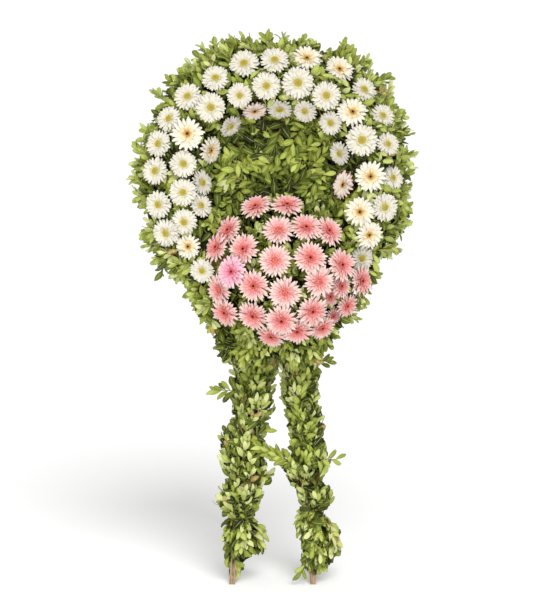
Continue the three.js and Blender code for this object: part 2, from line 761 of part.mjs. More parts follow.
/** A sprig that stands off on its own: a stem with leaves in pairs and one at its tip. */
function straySprig(side, { up, angle, length }) {
  const root = legPoint(side, up);
  const way = outward(angle).addScaledVector(FRONT, 0.12).normalize();
  const across = way.clone().cross(FRONT).normalize();
  const at = (distance) => root.clone().addScaledVector(way, distance);
  const parts = [rod(root, at(length - 26), 2.2, 4), leaf(at(length - 42), way, FRONT, 42, 19)];
  for (let distance = length - 46; distance > 30; distance -= 22) {
    for (const hand of [-1, 1]) {
      const direction = way.clone().addScaledVector(across, hand * 0.9);
      parts.push(leaf(at(distance), direction, FRONT, 38, 18));
    }
  }
  return parts;
}

/** A leafy sleeve round a leg, with its stray sprigs. */
function legBundle(side, bundle, widths, strays, seed) {
  const { top, bottom, lift } = bundle;
  const foot = legPoint(side, bottom);
  const axis = legPoint(side, top).sub(foot).normalize();
  const parts = [legSleeve(side, bundle, widths)];
  const random = seeded(seed);
  const turns = Math.round((top - bottom) / 11);
  for (let i = 0; i < turns; i += 1) {
    const up = THREE.MathUtils.lerp(bottom, top, 0.1 + (0.8 * (i + 0.5)) / turns);
    const around = outward(i * 137.5).applyAxisAngle(vector(1, 0, 0), Math.PI / 2);
    const [aside, half] = legWidth(widths, up);
    const root = foot.clone()
      .addScaledVector(axis, up - bottom)
      .add(vector(aside, 0, 0))
      .addScaledVector(around, half * SLEEVE - 10);
    const direction = around.clone().addScaledVector(axis, lift + 0.5 * (random() - 0.5));
    const length = (half * (1 - SLEEVE) + 10) * direction.length() * (0.9 + 0.3 * random());
    const tip = root.clone().addScaledVector(direction.clone().normalize(), length).sub(foot).dot(axis);
    if (length < 22 || tip > top - bottom - 3 || tip < 3) continue;
    parts.push(leaf(root, direction, random() < 0.5 ? FRONT : axis, length, 20));
  }
  const clearBatten = batten(
    legPoint(side, -60), legPoint(side, LEG_TOP + 60), BATTEN.width + 2 * GAP, BATTEN.depth + 2 * GAP);
  const [low, high] = [1, top - bottom - 1].map((up) => foot.clone().addScaledVector(axis, up));
  const whole = joined(parts).intersect(solidOf(rod(low, high, 200, 6)));
  return largest(
    [...strays.flatMap((stray) => straySprig(side, stray)).map(solidOf)]
      .reduce((sum, piece) => sum.add(piece), whole)
      .subtract(solidOf(clearBatten)),
  );
}

/** The twine that binds a leg's last bundle below the one before it. */
function tie(side, up) {
  const radius = 27;
  const section = [[radius, 0], [radius + 3.5, 2.5], [radius + 3.5, 5.5], [radius, 8], [radius, 0]];
  const ring = new THREE.LatheGeometry(section.map(([x, y]) => new THREE.Vector2(x, y)), 12);
  const foot = legPoint(side, up - 4);
  return solidOf(ring.applyMatrix4(along(foot, legPoint(side, up + 100).sub(foot))));
}

// ---------------------------------------------------------------- assembly

const assembly = new THREE.Group();
const easel = new THREE.Group();
easel.rotation.x = -radians(LEAN);
assembly.add(easel);

/** A named group of the easel's pieces. */
function section(name) {
  const group = new THREE.Group();
  group.name = name;
  easel.add(group);
  return group;
}

const timber = section("timber");
const straw = section("straw");
const greenery = section("greenery");
const flowers = section("flowers");

/** Adds a solid to a group as a mesh whose own origin is its middle. */
function add(group, name, solid, finish) {
  const geometry = geometryOf(solid);
  geometry.computeBoundingBox();
  const middle = geometry.boundingBox.getCenter(vector(0, 0, 0));
  geometry.translate(-middle.x, -middle.y, -middle.z);
  geometry.computeVertexNormals();
  const mesh = new THREE.Mesh(geometry, finish);
  mesh.name = name;
  mesh.position.copy(middle);
  group.add(mesh);
}

const shankSpace = screw(GAP);
const prop = rearLeg().subtract(shankSpace);
add(timber, "left_front_leg", frontLeg(-1), WOOD);
add(timber, "right_front_leg", frontLeg(1), WOOD);
add(timber, "rear_leg", prop, WOOD);
add(timber, "upper_rail", rail(UPPER_RAIL).subtract(shankSpace), WOOD);
add(timber, "lower_rail", rail(LOWER_RAIL), WOOD);
add(timber, "rear_stay", rearStay(prop), WOOD);
add(timber, "apex_screw", screw(0), STEEL);

for (const { name, kind, spots, fork, end } of picks) {
  add(flowers, name, joined([...wiredStems(spots, fork, end), ...spots.map(placedHead)]), PETAL[kind]);
}
const stemSpaces = picks.map(({ spots, fork, end }) => {
  const past = end.clone().addScaledVector(end.clone().sub(fork).normalize(), GAP);
  return joined(wiredStems(spots, fork, past, GAP));
});
const headSpaces = allBlooms.map(headSpace);
const cut = (solid, spaces) => largest(spaces.reduce((rest, space) => rest.subtract(space), solid));

const strawSpace = solidOf(strawBase(GAP));
const ringSpace = solidOf(ropeWrap(0, RING_SECTOR.from - 0.4, RING_SECTOR.to + 0.4, 3));
add(straw, "straw_base", cut(solidOf(strawBase()), stemSpaces), STRAW);

const flowerSpaces = [...stemSpaces, ...headSpaces];
add(greenery, "mound_greenery", cut(moundGreenery(), [strawSpace, ringSpace, ...flowerSpaces]), LEAF);
const moundSpace = solidOf(new THREE.SphereGeometry(MOUND.straw + 5, 20, 12).translate(...moundCentre));
const moundCap = moundSpace.subtract(behindMound(GAP));
for (let index = 0; index < RING_SECTOR.count; index += 1) {
  add(greenery, `ring_greenery_${index + 1}`, cut(ringGreenery(index), flowerSpaces), LEAF);
}
add(greenery, "centre_greenery", cut(centreGreenery(), [moundSpace, ...flowerSpaces]), LEAF);
const chinSpaces = [moundCap, strawSpace, ringSpace, ...flowerSpaces];
add(greenery, "chin_greenery", cut(chinGreenery(), chinSpaces), LEAF);
for (const [side, bundles] of Object.entries(LEG_BUNDLES)) {
  const sign = side === "left" ? -1 : 1;
  bundles.forEach((bundle, index) => {
    const strays = STRAYS[side].filter((stray) => stray.bundle === index);
    const solid = legBundle(sign, bundle, LEG_WIDTHS[side], strays, 31 + index + 7 * sign);
    add(greenery, `${side}_leg_greenery_${index + 1}`, solid, LEAF);
  });
  const [above, below] = bundles.slice(-2);
  add(greenery, `${side}_leg_tie`, tie(sign, (above.bottom + below.top) / 2), TWINE);
}

assembly.updateMatrixWorld(true);
const box = new THREE.Box3().setFromObject(assembly, true);
assembly.position.set(-(box.min.x + box.max.x) / 2, -(box.min.y + box.max.y) / 2, 0);

export default assembly;
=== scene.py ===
"""The looks of a memorial wreath: a leafy ring of gerberas on a leaning batten easel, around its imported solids."""

from __future__ import annotations

import logging
import math
import random
from collections.abc import Callable, Iterator, Sequence
from dataclasses import dataclass, replace
from enum import Enum
from functools import cache, partial
from typing import ClassVar

import bmesh
import bpy
import numpy as np
from mathutils import Matrix, Vector, noise

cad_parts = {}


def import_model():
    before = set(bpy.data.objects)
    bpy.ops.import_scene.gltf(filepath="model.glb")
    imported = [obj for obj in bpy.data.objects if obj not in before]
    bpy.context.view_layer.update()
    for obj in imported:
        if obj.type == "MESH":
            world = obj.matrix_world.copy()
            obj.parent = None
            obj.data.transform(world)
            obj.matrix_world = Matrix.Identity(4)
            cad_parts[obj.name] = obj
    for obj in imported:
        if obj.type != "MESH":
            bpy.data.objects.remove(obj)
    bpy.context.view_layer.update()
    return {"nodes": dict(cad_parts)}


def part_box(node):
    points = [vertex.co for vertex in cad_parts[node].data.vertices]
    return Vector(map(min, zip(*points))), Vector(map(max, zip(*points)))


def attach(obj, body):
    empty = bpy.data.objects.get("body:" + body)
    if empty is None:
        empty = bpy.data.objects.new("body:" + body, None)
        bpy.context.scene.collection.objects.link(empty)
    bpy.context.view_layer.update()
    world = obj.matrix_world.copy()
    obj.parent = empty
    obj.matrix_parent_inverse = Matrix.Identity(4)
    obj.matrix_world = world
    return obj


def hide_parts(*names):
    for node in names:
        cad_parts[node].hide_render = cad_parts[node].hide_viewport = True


LOG = logging.getLogger("wreath")
MM = 0.001
GOLDEN_ANGLE = 137.5
FRONT, UP, RIGHT = Vector((0, -1, 0)), Vector((0, 0, 1)), Vector((1, 0, 0))

Settings = dict[str | int, object]
Links = dict[str | int, object]
Stops = tuple[tuple[float, str], ...]
Points = Sequence[tuple[float, float]]


# ---------------------------------------------------------------- small helpers


def linear(colour: str) -> tuple[float, ...]:
    """Turns an sRGB hex colour to linear.

    Args:
        colour: The colour, such as "#7d9a3c".

    Returns:
        Red, green, blue and alpha.
    """
    parts = [int(colour[i : i + 2], 16) / 255 for i in (1, 3, 5)]
    curve = [c / 12.92 if c <= 0.04045 else ((c + 0.055) / 1.055) ** 2.4 for c in parts]
    return (*curve, 1.0)


def add_node(
    tree: bpy.types.NodeTree, kind: str, settings: Settings | None = None, links: Links | None = None
) -> bpy.types.Node:
    """Adds a node with its settings and links.

    Args:
        tree: The tree that takes the node.
        kind: The node's type name, after "ShaderNode".
        settings: Input values and properties by name; "stops" holds a ramp's (place, hex colour) pairs.
        links: What each input takes: an output socket, or a node for its first output.

    Returns:
        The new node.
    """
    node = tree.nodes.new(f"ShaderNode{kind}")
    for key, value in (settings or {}).items():
        if key == "stops":
            elements = node.color_ramp.elements
            while len(elements) < len(value):
                elements.new(1.0)
            for element, (place, colour) in zip(elements, value, strict=True):
                element.position = place
                element.color = linear(colour)
        elif isinstance(key, int) or key in node.inputs:
            node.inputs[key].default_value = value
        else:
            setattr(node, key, value)
    for key, source in (links or {}).items():
        socket = source.outputs[0] if isinstance(source, bpy.types.Node) else source
        tree.links.new(socket, node.inputs[key])
    return node


def between(low: float, high: float, share: float) -> float:
    """The value at a share of the way from low to high."""
    return low + (high - low) * share


def along_points(points: Points, at: float) -> float:
    """The height at a place along a line of (place, height) points."""
    places, heights = zip(*points, strict=True)
    return float(np.interp(at, places, heights))


def outward(angle: float) -> Vector:
    """The direction in the ring's plane at an angle in degrees from +X, anticlockwise as seen from the front."""
    return Vector((math.cos(math.radians(angle)), 0, math.sin(math.radians(angle))))


def scattered(rng: random.Random, reach: float) -> Vector:
    """A vector whose three parts are each drawn between -reach and reach."""
    return Vector([rng.uniform(-reach, reach) for _ in range(3)])


def aimed(origin: Vector, direction: Vector, facing: Vector) -> Matrix:
    """Makes the matrix of a piece that grows along a direction.

    Args:
        origin: Where the piece's own origin goes.
        direction: Where its +Y goes.
        facing: Where its +Z goes, as nearly as it can.

    Returns:
        The matrix.
    """
    y = direction.normalized()
    x = y.cross(facing)
    if x.length < 1e-4:
        x = y.orthogonal()
    x.normalize()
    return Matrix.Translation(origin) @ Matrix((x, y, x.cross(y))).transposed().to_4x4()


def seated(origin: Vector, normal: Vector, roll: float) -> Matrix:
    """The matrix of a piece whose +Z goes along a normal, turned about it by roll degrees."""
    turn = normal.to_track_quat("Z", "Y").to_matrix().to_4x4()
    return Matrix.Translation(origin) @ turn @ Matrix.Rotation(math.radians(roll), 4, "Z")


# ---------------------------------------------------------------- finishes


class Finish:
    """What every finish shares: a named material that ends in one Principled shader."""

    def build(self) -> bpy.types.Material:
        """Makes the material.

        Returns:
            The material.
        """
        material = bpy.data.materials.new(self.name)
        material.use_nodes = True
        tree = material.node_tree
        tree.nodes.clear()
        shader = add_node(tree, "BsdfPrincipled", *self.surface(partial(add_node, tree)))
        add_node(tree, "OutputMaterial", links={0: shader})
        return material

    def surface(self, add: Callable[..., bpy.types.Node]) -> tuple[Settings, Links]:
        """The shader's settings and links, whose nodes come from add."""
        raise NotImplementedError


@dataclass(frozen=True)
class LeafFinish(Finish):
    """Laurel-like evergreen leaf: a satin upper side with a pale midrib, and a duller blue-green underside."""

    name: str = "evergreen_leaf"
    stops: Stops = (
        (0.0, "#222702"), (0.2, "#5a681a"), (0.45, "#9aa540"), (0.7, "#b9c269"), (0.92, "#d8dba2"), (1.0, "#a3844c")
    )
    underside: str = "#a9b17a"
    midrib: str = "#d2d592"
    margin: str = "#4b5720"
    mottle_mm: float = 9.0
    veins: float = 8.0

    def surface(self, add: Callable[..., bpy.types.Node]) -> tuple[Settings, Links]:
        """Makes the nodes for the shader.

        Args:
            add: Adds a node to the material's tree.

        Returns:
            The shader's settings and links.
        """
        tint, coords = add("Attribute", {"attribute_name": "tint"}), add("TexCoord")
        place = add("SeparateXYZ", links={0: coords.outputs["UV"]})
        scale = 1 / (self.mottle_mm * MM)
        mottle = add("TexNoise", {"Scale": scale, "Detail": 2.0}, {"Vector": coords.outputs["Object"]})
        shift = add("Math", {"operation": "MULTIPLY_ADD", 1: 0.16, 2: -0.08}, {0: mottle})
        shade = add("Math", {"operation": "ADD", "use_clamp": True}, {0: tint.outputs["Fac"], 1: shift})
        colour = add("ValToRGB", {"stops": self.stops}, {"Fac": shade})
        # The left half of the UV square is the upper side and the right half the underside.
        below = add("Math", {"operation": "GREATER_THAN", 1: 0.5}, {0: place.outputs["X"]})
        dulled = add("Math", {"operation": "MULTIPLY", 1: 0.26}, {0: below})
        sides = add("Mix", {"data_type": "RGBA", 7: linear(self.underside)}, {0: dulled, 6: colour})
        across = add("Math", {"operation": "PINGPONG", 1: 0.25}, {0: place.outputs["X"]})
        # Each band: its colour, where it starts and is full across the blade, 0 at its edge, and how full it is.
        for tone, start, full, most in ((self.midrib, 0.215, 0.25, 0.55), (self.margin, 0.06, 0.0, 0.55)):
            span = {"From Min": start, "From Max": full, "To Min": 0.0, "To Max": most}
            share = add("MapRange", span, {"Value": across})
            sides = add("Mix", {"data_type": "RGBA", 7: linear(tone)}, {0: share, 6: sides.outputs[2]})
        slant = add("Math", {"operation": "MULTIPLY_ADD", 1: 2.0}, {0: across, 2: place.outputs["Y"]})
        wave = add("Math", {"operation": "MULTIPLY", 1: self.veins * 2 * math.pi}, {0: slant})
        veins = add("Math", {"operation": "SINE"}, {0: wave})
        bump = add("Bump", {"Strength": 0.25, "Distance": 0.0006}, {"Height": veins})
        settings = {"Roughness": 0.5, "IOR": 1.45, "Specular IOR Level": 0.16}
        return settings, {"Base Color": sides.outputs[2], "Normal": bump}


@dataclass(frozen=True)
class PetalFinish(Finish):
    """Gerbera petal: matt and soft, with fine lengthwise ribs, its colour running from the eye to the tip."""

    name: str
    stops: Stops
    streak: str
    streaking: float = 0.22
    rib_count: float = 7.0
    row_shift: float = 0.9

    def surface(self, add: Callable[..., bpy.types.Node]) -> tuple[Settings, Links]:
        """Makes the nodes for the shader.

        Args:
            add: Adds a node to the material's tree.

        Returns:
            The shader's settings and links.
        """
        tint, coords = add("Attribute", {"attribute_name": "tint"}), add("TexCoord")
        place = add("SeparateXYZ", links={0: coords.outputs["UV"]})
        row = {"operation": "MULTIPLY_ADD", 1: self.row_shift, 2: -self.row_shift / 2}
        shift = add("Math", row, {0: tint.outputs["Fac"]})
        run = add("Math", {"operation": "ADD", "use_clamp": True}, {0: place.outputs["Y"], 1: shift})
        colour = add("ValToRGB", {"stops": self.stops}, {"Fac": run})
        stretched = add("Mapping", {"Scale": (self.rib_count * 2, 1.1, 1.0)}, {"Vector": coords.outputs["UV"]})
        ribs = add("TexNoise", {"Scale": 2.0, "Detail": 1.0}, {"Vector": stretched})
        span = {"From Min": 0.45, "From Max": 0.75, "To Min": 0.0, "To Max": self.streaking}
        share = add("MapRange", span, {"Value": ribs})
        streaked = add("Mix", {"data_type": "RGBA", 7: linear(self.streak)}, {0: share, 6: colour})
        bump = add("Bump", {"Strength": 0.3, "Distance": 0.0006}, {"Height": ribs})
        settings = {"Roughness": 0.6, "IOR": 1.4, "Specular IOR Level": 0.25}
        return settings, {"Base Color": streaked.outputs[2], "Normal": bump}


@dataclass(frozen=True)
class TintedFinish(Finish):
    """A matt natural surface whose colour follows each small piece's tint: florets, twigs, straw or litter."""

    name: str
    stops: Stops
    grain_mm: float
    roughness: float = 0.75
    relief_mm: float = 0.3

    def surface(self, add: Callable[..., bpy.types.Node]) -> tuple[Settings, Links]:
        """Makes the nodes for the shader.

        Args:
            add: Adds a node to the material's tree.

        Returns:
            The shader's settings and links.
        """
        tint, coords = add("Attribute", {"attribute_name": "tint"}), add("TexCoord")
        scale = 1 / (self.grain_mm * MM)
        grain = add("TexNoise", {"Scale": scale, "Detail": 3.0}, {"Vector": coords.outputs["Object"]})
        shift = add("Math", {"operation": "MULTIPLY_ADD", 1: 0.3, 2: -0.15}, {0: grain})
        shade = add("Math", {"operation": "ADD", "use_clamp": True}, {0: tint.outputs["Fac"], 1: shift})
        colour = add("ValToRGB", {"stops": self.stops}, {"Fac": shade})
        bump = add("Bump", {"Strength": 0.5, "Distance": self.relief_mm * MM}, {"Height": grain})
        settings = {"Roughness": self.roughness, "Specular IOR Level": 0.15}
        return settings, {"Base Color": colour, "Normal": bump}


@dataclass(frozen=True)
class BattenFinish(Finish):
    """Sawn spruce batten, unpainted: pale grey-brown, with darker grain a few millimetres apart along it."""

    name: str
    grain_axis: int
    light: str = "#aa9272"
    dark: str = "#745c44"
    grain_mm: float = 5.0
    stretch: float = 24.0

    def surface(self, add: Callable[..., bpy.types.Node]) -> tuple[Settings, Links]:
        """Makes the nodes for the shader.

        Args:
            add: Adds a node to the material's tree.

        Returns:
            The shader's settings and links.
        """
        scale = [1.0, 1.0, 1.0]
        scale[self.grain_axis] = 1 / self.stretch
        along = add("Mapping", {"Scale": scale}, {"Vector": add("TexCoord").outputs["Object"]})
        weave = {"Scale": 1 / (self.grain_mm * MM), "Detail": 4.0, "Distortion": 0.6}
        grain = add("TexNoise", weave, {"Vector": along})
        colour = add("ValToRGB", {"stops": ((0.36, self.dark), (0.62, self.light))}, {"Fac": grain})
        bump = add("Bump", {"Strength": 0.45, "Distance": 0.0005}, {"Height": grain})
        rough = add("MapRange", {"To Min": 0.62, "To Max": 0.85}, {"Value": grain})
        return {"Specular IOR Level": 0.3}, {"Base Color": colour, "Roughness": rough, "Normal": bump}


@dataclass(frozen=True)
class SteelFinish(Finish):
    """Zinc-plated steel: bright, with faint cloudy patches in its gloss."""

    name: str = "zinc_plated_steel"
    cloud_mm: float = 6.0

    def surface(self, add: Callable[..., bpy.types.Node]) -> tuple[Settings, Links]:
        """The shader's settings and links, whose nodes come from add."""
        cloud = add("TexNoise", {"Scale": 1 / (self.cloud_mm * MM)}, {"Vector": add("TexCoord").outputs["Object"]})
        rough = add("MapRange", {"To Min": 0.28, "To Max": 0.5}, {"Value": cloud})
        return {"Base Color": linear("#b9bbbd"), "Metallic": 1.0}, {"Roughness": rough}


@dataclass(frozen=True)
class StudioFinish(Finish):
    """Matt white studio card, evenly pale and glowing faintly."""

    name: str = "studio_card"
    glow: float = 0.13

    def surface(self, add: Callable[..., bpy.types.Node]) -> tuple[Settings, Links]:
        """The shader's settings and links, whose nodes come from add."""
        glow = {"Emission Color": linear("#ffffff"), "Emission Strength": self.glow}
        return {"Base Color": linear("#f7f7f7"), "Roughness": 0.9, **glow}, {}


@cache
def material_of(finish: Finish) -> bpy.types.Material:
    """The material of a finish, built once."""
    return finish.build()


LEAF = LeafFinish()
WHITE_PETAL = PetalFinish(
    "white_gerbera_petal", ((0.0, "#c2bd74"), (0.22, "#d4cfa9"), (0.45, "#dad5c3"), (1.0, "#dad5c7")), "#bcb5ab"
)
CREAM_PETAL = PetalFinish(
    "cream_gerbera_petal",
    ((0.0, "#d6ae6c"), (0.2, "#e1c993"), (0.42, "#e6dabc"), (0.7, "#e4dfcf"), (1.0, "#e4e0d2")),
    "#d6c6a2",
)
TINGED_PETAL = PetalFinish(
    "tinged_gerbera_petal",
    ((0.0, "#d8a878"), (0.18, "#e2cbac"), (0.5, "#e7ddcd"), (0.82, "#e8d8cd"), (1.0, "#e9c6bd")),
    "#dfc4b8",
)
PINK_PETAL = PetalFinish(
    "pink_gerbera_petal",
    ((0.0, "#ce5654"), (0.3, "#d9736e"), (0.6, "#e19893"), (0.85, "#e5b7b1"), (1.0, "#e7cdc4")),
    "#cc6a68",
    0.3,
)
LILAC_PETAL = PetalFinish(
    "lilac_pink_gerbera_petal",
    ((0.0, "#d75f78"), (0.35, "#e08ba0"), (0.7, "#eab0bf"), (1.0, "#eecad2")),
    "#da8199",
    0.25,
)
OLIVE_EYE, DARK_EYE, BLACK_EYE, CORAL_EYE = (
    TintedFinish(f"{name}_eye_florets", stops, 1.2, 0.7, 0.5)
    for name, stops in {
        "olive": ((0.0, "#9a8f38"), (0.5, "#b09e42"), (0.85, "#bca650"), (1.0, "#d6c67c")),
        "dark": ((0.0, "#1c120b"), (0.5, "#35210f"), (0.72, "#b58440"), (1.0, "#dcb672")),
        "black": ((0.0, "#170c0c"), (0.46, "#3a1716"), (0.6, "#cf5e48"), (1.0, "#e88f76")),
        "coral": ((0.0, "#a8443a"), (0.4, "#d8705a"), (0.7, "#e58c72"), (1.0, "#efab96")),
    }.items()
)
STEM = TintedFinish("gerbera_stem", ((0.0, "#5f7f33"), (1.0, "#8aa552")), 4.0, 0.55)
TWIG = TintedFinish("woody_twig", ((0.0, "#4b3620"), (0.5, "#7a4f30"), (1.0, "#6f7a35")), 2.0, 0.7)
# Near-black underlay laid under all the sprigs: painted shade for the depth between the leaves.
PAINTED_SHADE = TintedFinish("painted_shade_underlay", ((0.0, "#0f1206"), (0.6, "#20260a"), (1.0, "#384014")), 12.0, 0.95, 3.0)
STRAW = TintedFinish("packed_rye_straw", ((0.0, "#7d6230"), (0.45, "#b08f4c"), (1.0, "#d8bf7c")), 3.0, 0.8, 0.8)
TWINE = TintedFinish("green_jute_twine", ((0.0, "#39421f"), (1.0, "#67703a")), 1.0, 0.85, 0.4)


# ---------------------------------------------------------------- small meshes, and growing many of them


class Growth:
    """Gathers placed copies of small meshes, each with its own tint, in one mesh."""

    def __init__(self) -> None:
        """Starts empty."""
        self.bm = bmesh.new()

    def add(
        self,
        mesh: bpy.types.Mesh,
        matrix: Matrix,
        tint: float | None = None,
        slots: Sequence[int] | None = None,
    ) -> None:
        """Adds a copy of a mesh.

        Args:
            mesh: The small mesh, which has a tint on each vertex.
            matrix: Where the copy goes.
            tint: The copy's tint from 0 to 1, or None to keep the mesh's own.
            slots: The material slot that each of the mesh's own slots becomes, or None to keep them.
        """
        copy = mesh.copy()
        copy.transform(matrix)
        if slots is not None:
            own = np.empty(len(copy.polygons), np.int32)
            copy.polygons.foreach_get("material_index", own)
            copy.polygons.foreach_set("material_index", np.array(slots, np.int32)[own])
        if tint is not None:
            values = np.full(len(copy.vertices), min(max(tint, 0.0), 1.0), np.float32)
            copy.attributes["tint"].data.foreach_set("value", values)
        self.bm.from_mesh(copy)
        bpy.data.meshes.remove(copy)

    def mesh(self, name: str) -> bpy.types.Mesh:
        """Ends the growth and returns its mesh."""
        return ended(self.bm, name)


def ended(bm: bmesh.types.BMesh, name: str) -> bpy.types.Mesh:
    """Ends a bmesh as a named mesh."""
    mesh = bpy.data.meshes.new(name)
    bm.to_mesh(mesh)
    bm.free()
    return mesh


def tinted(bm: bmesh.types.BMesh, name: str, tint: float = 0.5, slot: int = 0) -> bpy.types.Mesh:
    """Ends a bmesh as a mesh with a tint on each vertex.

    Args:
        bm: The bmesh, which is freed.
        name: The mesh's name.
        tint: The tint of each vertex.
        slot: The material slot of each face.

    Returns:
        The mesh.
    """
    layer = bm.verts.layers.float.get("tint") or bm.verts.layers.float.new("tint")
    if not bm.loops.layers.uv:
        bm.loops.layers.uv.new("UVMap")
    for vert in bm.verts:
        vert[layer] = tint
    for face in bm.faces:
        face.material_index = slot
    return ended(bm, name)


def smooth(bm: bmesh.types.BMesh, quads_only: bool = False) -> None:
    """Shades every face smooth, or only those with four corners."""
    for face in bm.faces:
        face.smooth = not quads_only or len(face.verts) == 4


def kind_of(parts: Sequence[object], kind: type) -> list:
    """The parts that are of one kind: vertices, edges or faces."""
    return [part for part in parts if isinstance(part, kind)]


def add_cone(
    bm: bmesh.types.BMesh, sides: int, near: float, far: float, height: float, place: Matrix
) -> None:
    """Adds a capped cone or rod, centred on a place and running along its +Z.

    Args:
        bm: What takes it.
        sides: How many sides it has.
        near: Its radius at the near end.
        far: Its radius at the far end.
        height: How high it is.
        place: Where its middle goes.
    """
    bmesh.ops.create_cone(
        bm, cap_ends=True, segments=sides, radius1=near, radius2=far, depth=height, matrix=place
    )


@dataclass(frozen=True)
class Blade:
    """A thin closed leaf or petal that is one unit long and one wide, growing along +Y and facing +Z."""

    name: str
    widths: tuple[float, ...]
    arch: float
    fold: float
    thickness: float
    twist: float = 0.0

    def mesh(self) -> bpy.types.Mesh:
        """Makes a folded grid and its underside, joined at their edges.

        Returns:
            The mesh.
        """
        rows = len(self.widths) - 1
        bm = bmesh.new()
        uv = bm.loops.layers.uv.new("UVMap")
        bmesh.ops.create_grid(bm, x_segments=2, y_segments=rows, size=0.5)
        for face in bm.faces:
            for loop in face.loops:
                loop[uv].uv = (0.25 + loop.vert.co.x / 2, loop.vert.co.y + 0.5)
        under = bmesh.ops.duplicate(bm, geom=bm.faces[:])["geom"]
        under_faces = kind_of(under, bmesh.types.BMFace)
        under_verts = set(kind_of(under, bmesh.types.BMVert))
        bmesh.ops.reverse_faces(bm, faces=under_faces)
        for face in under_faces:
            for loop in face.loops:
                loop[uv].uv.x += 0.5
        rim = set()
        for vert in bm.verts:
            across, run = vert.co.x * 2, vert.co.y + 0.5
            if abs(across) > 0.9 or run < 0.01 or run > 0.99:
                rim.add(vert)
            half = self.widths[round(run * rows)] / 2
            height = self.arch * math.sin(math.pi * run) + self.fold * abs(across) * half
            height += self.twist * across * (run - 0.5)
            if vert in under_verts and vert not in rim:
                height -= self.thickness
            vert.co = Vector((across * half, run, height))
        for edge in bm.edges:
            if all(vert in rim for vert in edge.verts):
                edge.smooth = False
        smooth(bm)
        bmesh.ops.remove_doubles(bm, verts=bm.verts[:], dist=1e-5)
        return tinted(bm, self.name)


def rod_mesh(name: str, sides: int, taper: float, slot: int) -> bpy.types.Mesh:
    """Makes a unit rod along +Y that tapers.

    Args:
        name: The mesh's name.
        sides: How many sides it has.
        taper: Its far radius as a share of the near one, which is 1.
        slot: Its material slot.

    Returns:
        The mesh.
    """
    bm = bmesh.new()
    upright = Matrix.Rotation(math.radians(-90), 4, "X") @ Matrix.Translation((0, 0, 0.5))
    add_cone(bm, sides, 1.0, taper, 1.0, upright)
    smooth(bm, quads_only=True)
    return tinted(bm, name, slot=slot)


def rod_matrix(start: Vector, end: Vector, radius: float) -> Matrix:
    """The matrix that makes the unit rod run from start to end with a radius."""
    way = end - start
    return aimed(start, way, FRONT) @ Matrix.Diagonal((radius, way.length, radius, 1))


def roughened(bm: bmesh.types.BMesh, amount: float, size: float) -> None:
    """Pushes a bmesh's vertices in and out by smooth noise, and shades it smooth.

    Args:
        bm: The bmesh.
        amount: The most that a vertex moves, in millimetres.
        size: The size of the lumps, in millimetres.
    """
    bmesh.ops.recalc_face_normals(bm, faces=bm.faces[:])
    bm.normal_update()
    moves = [vert.normal * noise.noise(vert.co / size) * amount for vert in bm.verts]
    for vert, move in zip(bm.verts, moves, strict=True):
        vert.co += move
    smooth(bm)


def spin_profile(points: Points, place: Matrix, steps: int) -> bmesh.types.BMesh:
    """Spins an open line of (radius, height) points all the way round the height axis.

    Args:
        points: The line, from the axis and back to it.
        place: Where the spun shape goes; its axis is +Y and its first radius is +X.
        steps: How many steps the spin takes.

    Returns:
        A bmesh of the shape.
    """
    bm = bmesh.new()
    verts = [bm.verts.new((radius, height, 0)) for radius, height in points]
    edges = [bm.edges.new(pair) for pair in zip(verts, verts[1:], strict=False)]
    spin = {"cent": (0, 0, 0), "axis": (0, 1, 0), "angle": 2 * math.pi, "steps": steps, "use_merge": True}
    bmesh.ops.spin(bm, geom=[*verts, *edges], **spin)
    bmesh.ops.remove_doubles(bm, verts=bm.verts[:], dist=0.01)
    bmesh.ops.transform(bm, matrix=place, verts=bm.verts[:])
    bmesh.ops.recalc_face_normals(bm, faces=bm.faces[:])
    return bm


def wound_twine(radius: float, thickness: float, steps: int, turns: int = 1, rise: float = 0) -> bmesh.types.BMesh:
    """Winds twine round the +Y axis: a closed loop, or where it rises a coil with capped ends.

    Args:
        radius: The twine's distance from the axis.
        thickness: The twine's own radius.
        steps: How many steps the winding takes.
        turns: How many times it goes round.
        rise: How far it rises in all.

    Returns:
        A bmesh of the twine.
    """
    bm = bmesh.new()
    place = Matrix.Translation((radius, 0, 0))
    verts = bmesh.ops.create_circle(bm, cap_ends=rise > 0, segments=6, radius=thickness, matrix=place)["verts"]
    faces = list({face for vert in verts for face in vert.link_faces})
    edges = list({edge for vert in verts for edge in vert.link_edges})
    spin = {"cent": (0, 0, 0), "axis": (0, 1, 0), "dvec": (0, rise / steps, 0), "angle": 2 * math.pi * turns}
    bmesh.ops.spin(bm, geom=[*verts, *edges, *faces], steps=steps, use_merge=not rise, **spin)
    if not rise:
        bmesh.ops.remove_doubles(bm, verts=bm.verts[:], dist=0.01)
    bmesh.ops.recalc_face_normals(bm, faces=bm.faces[:])
    smooth(bm)
    return bm


# ---------------------------------------------------------------- the leaning frame and where things are


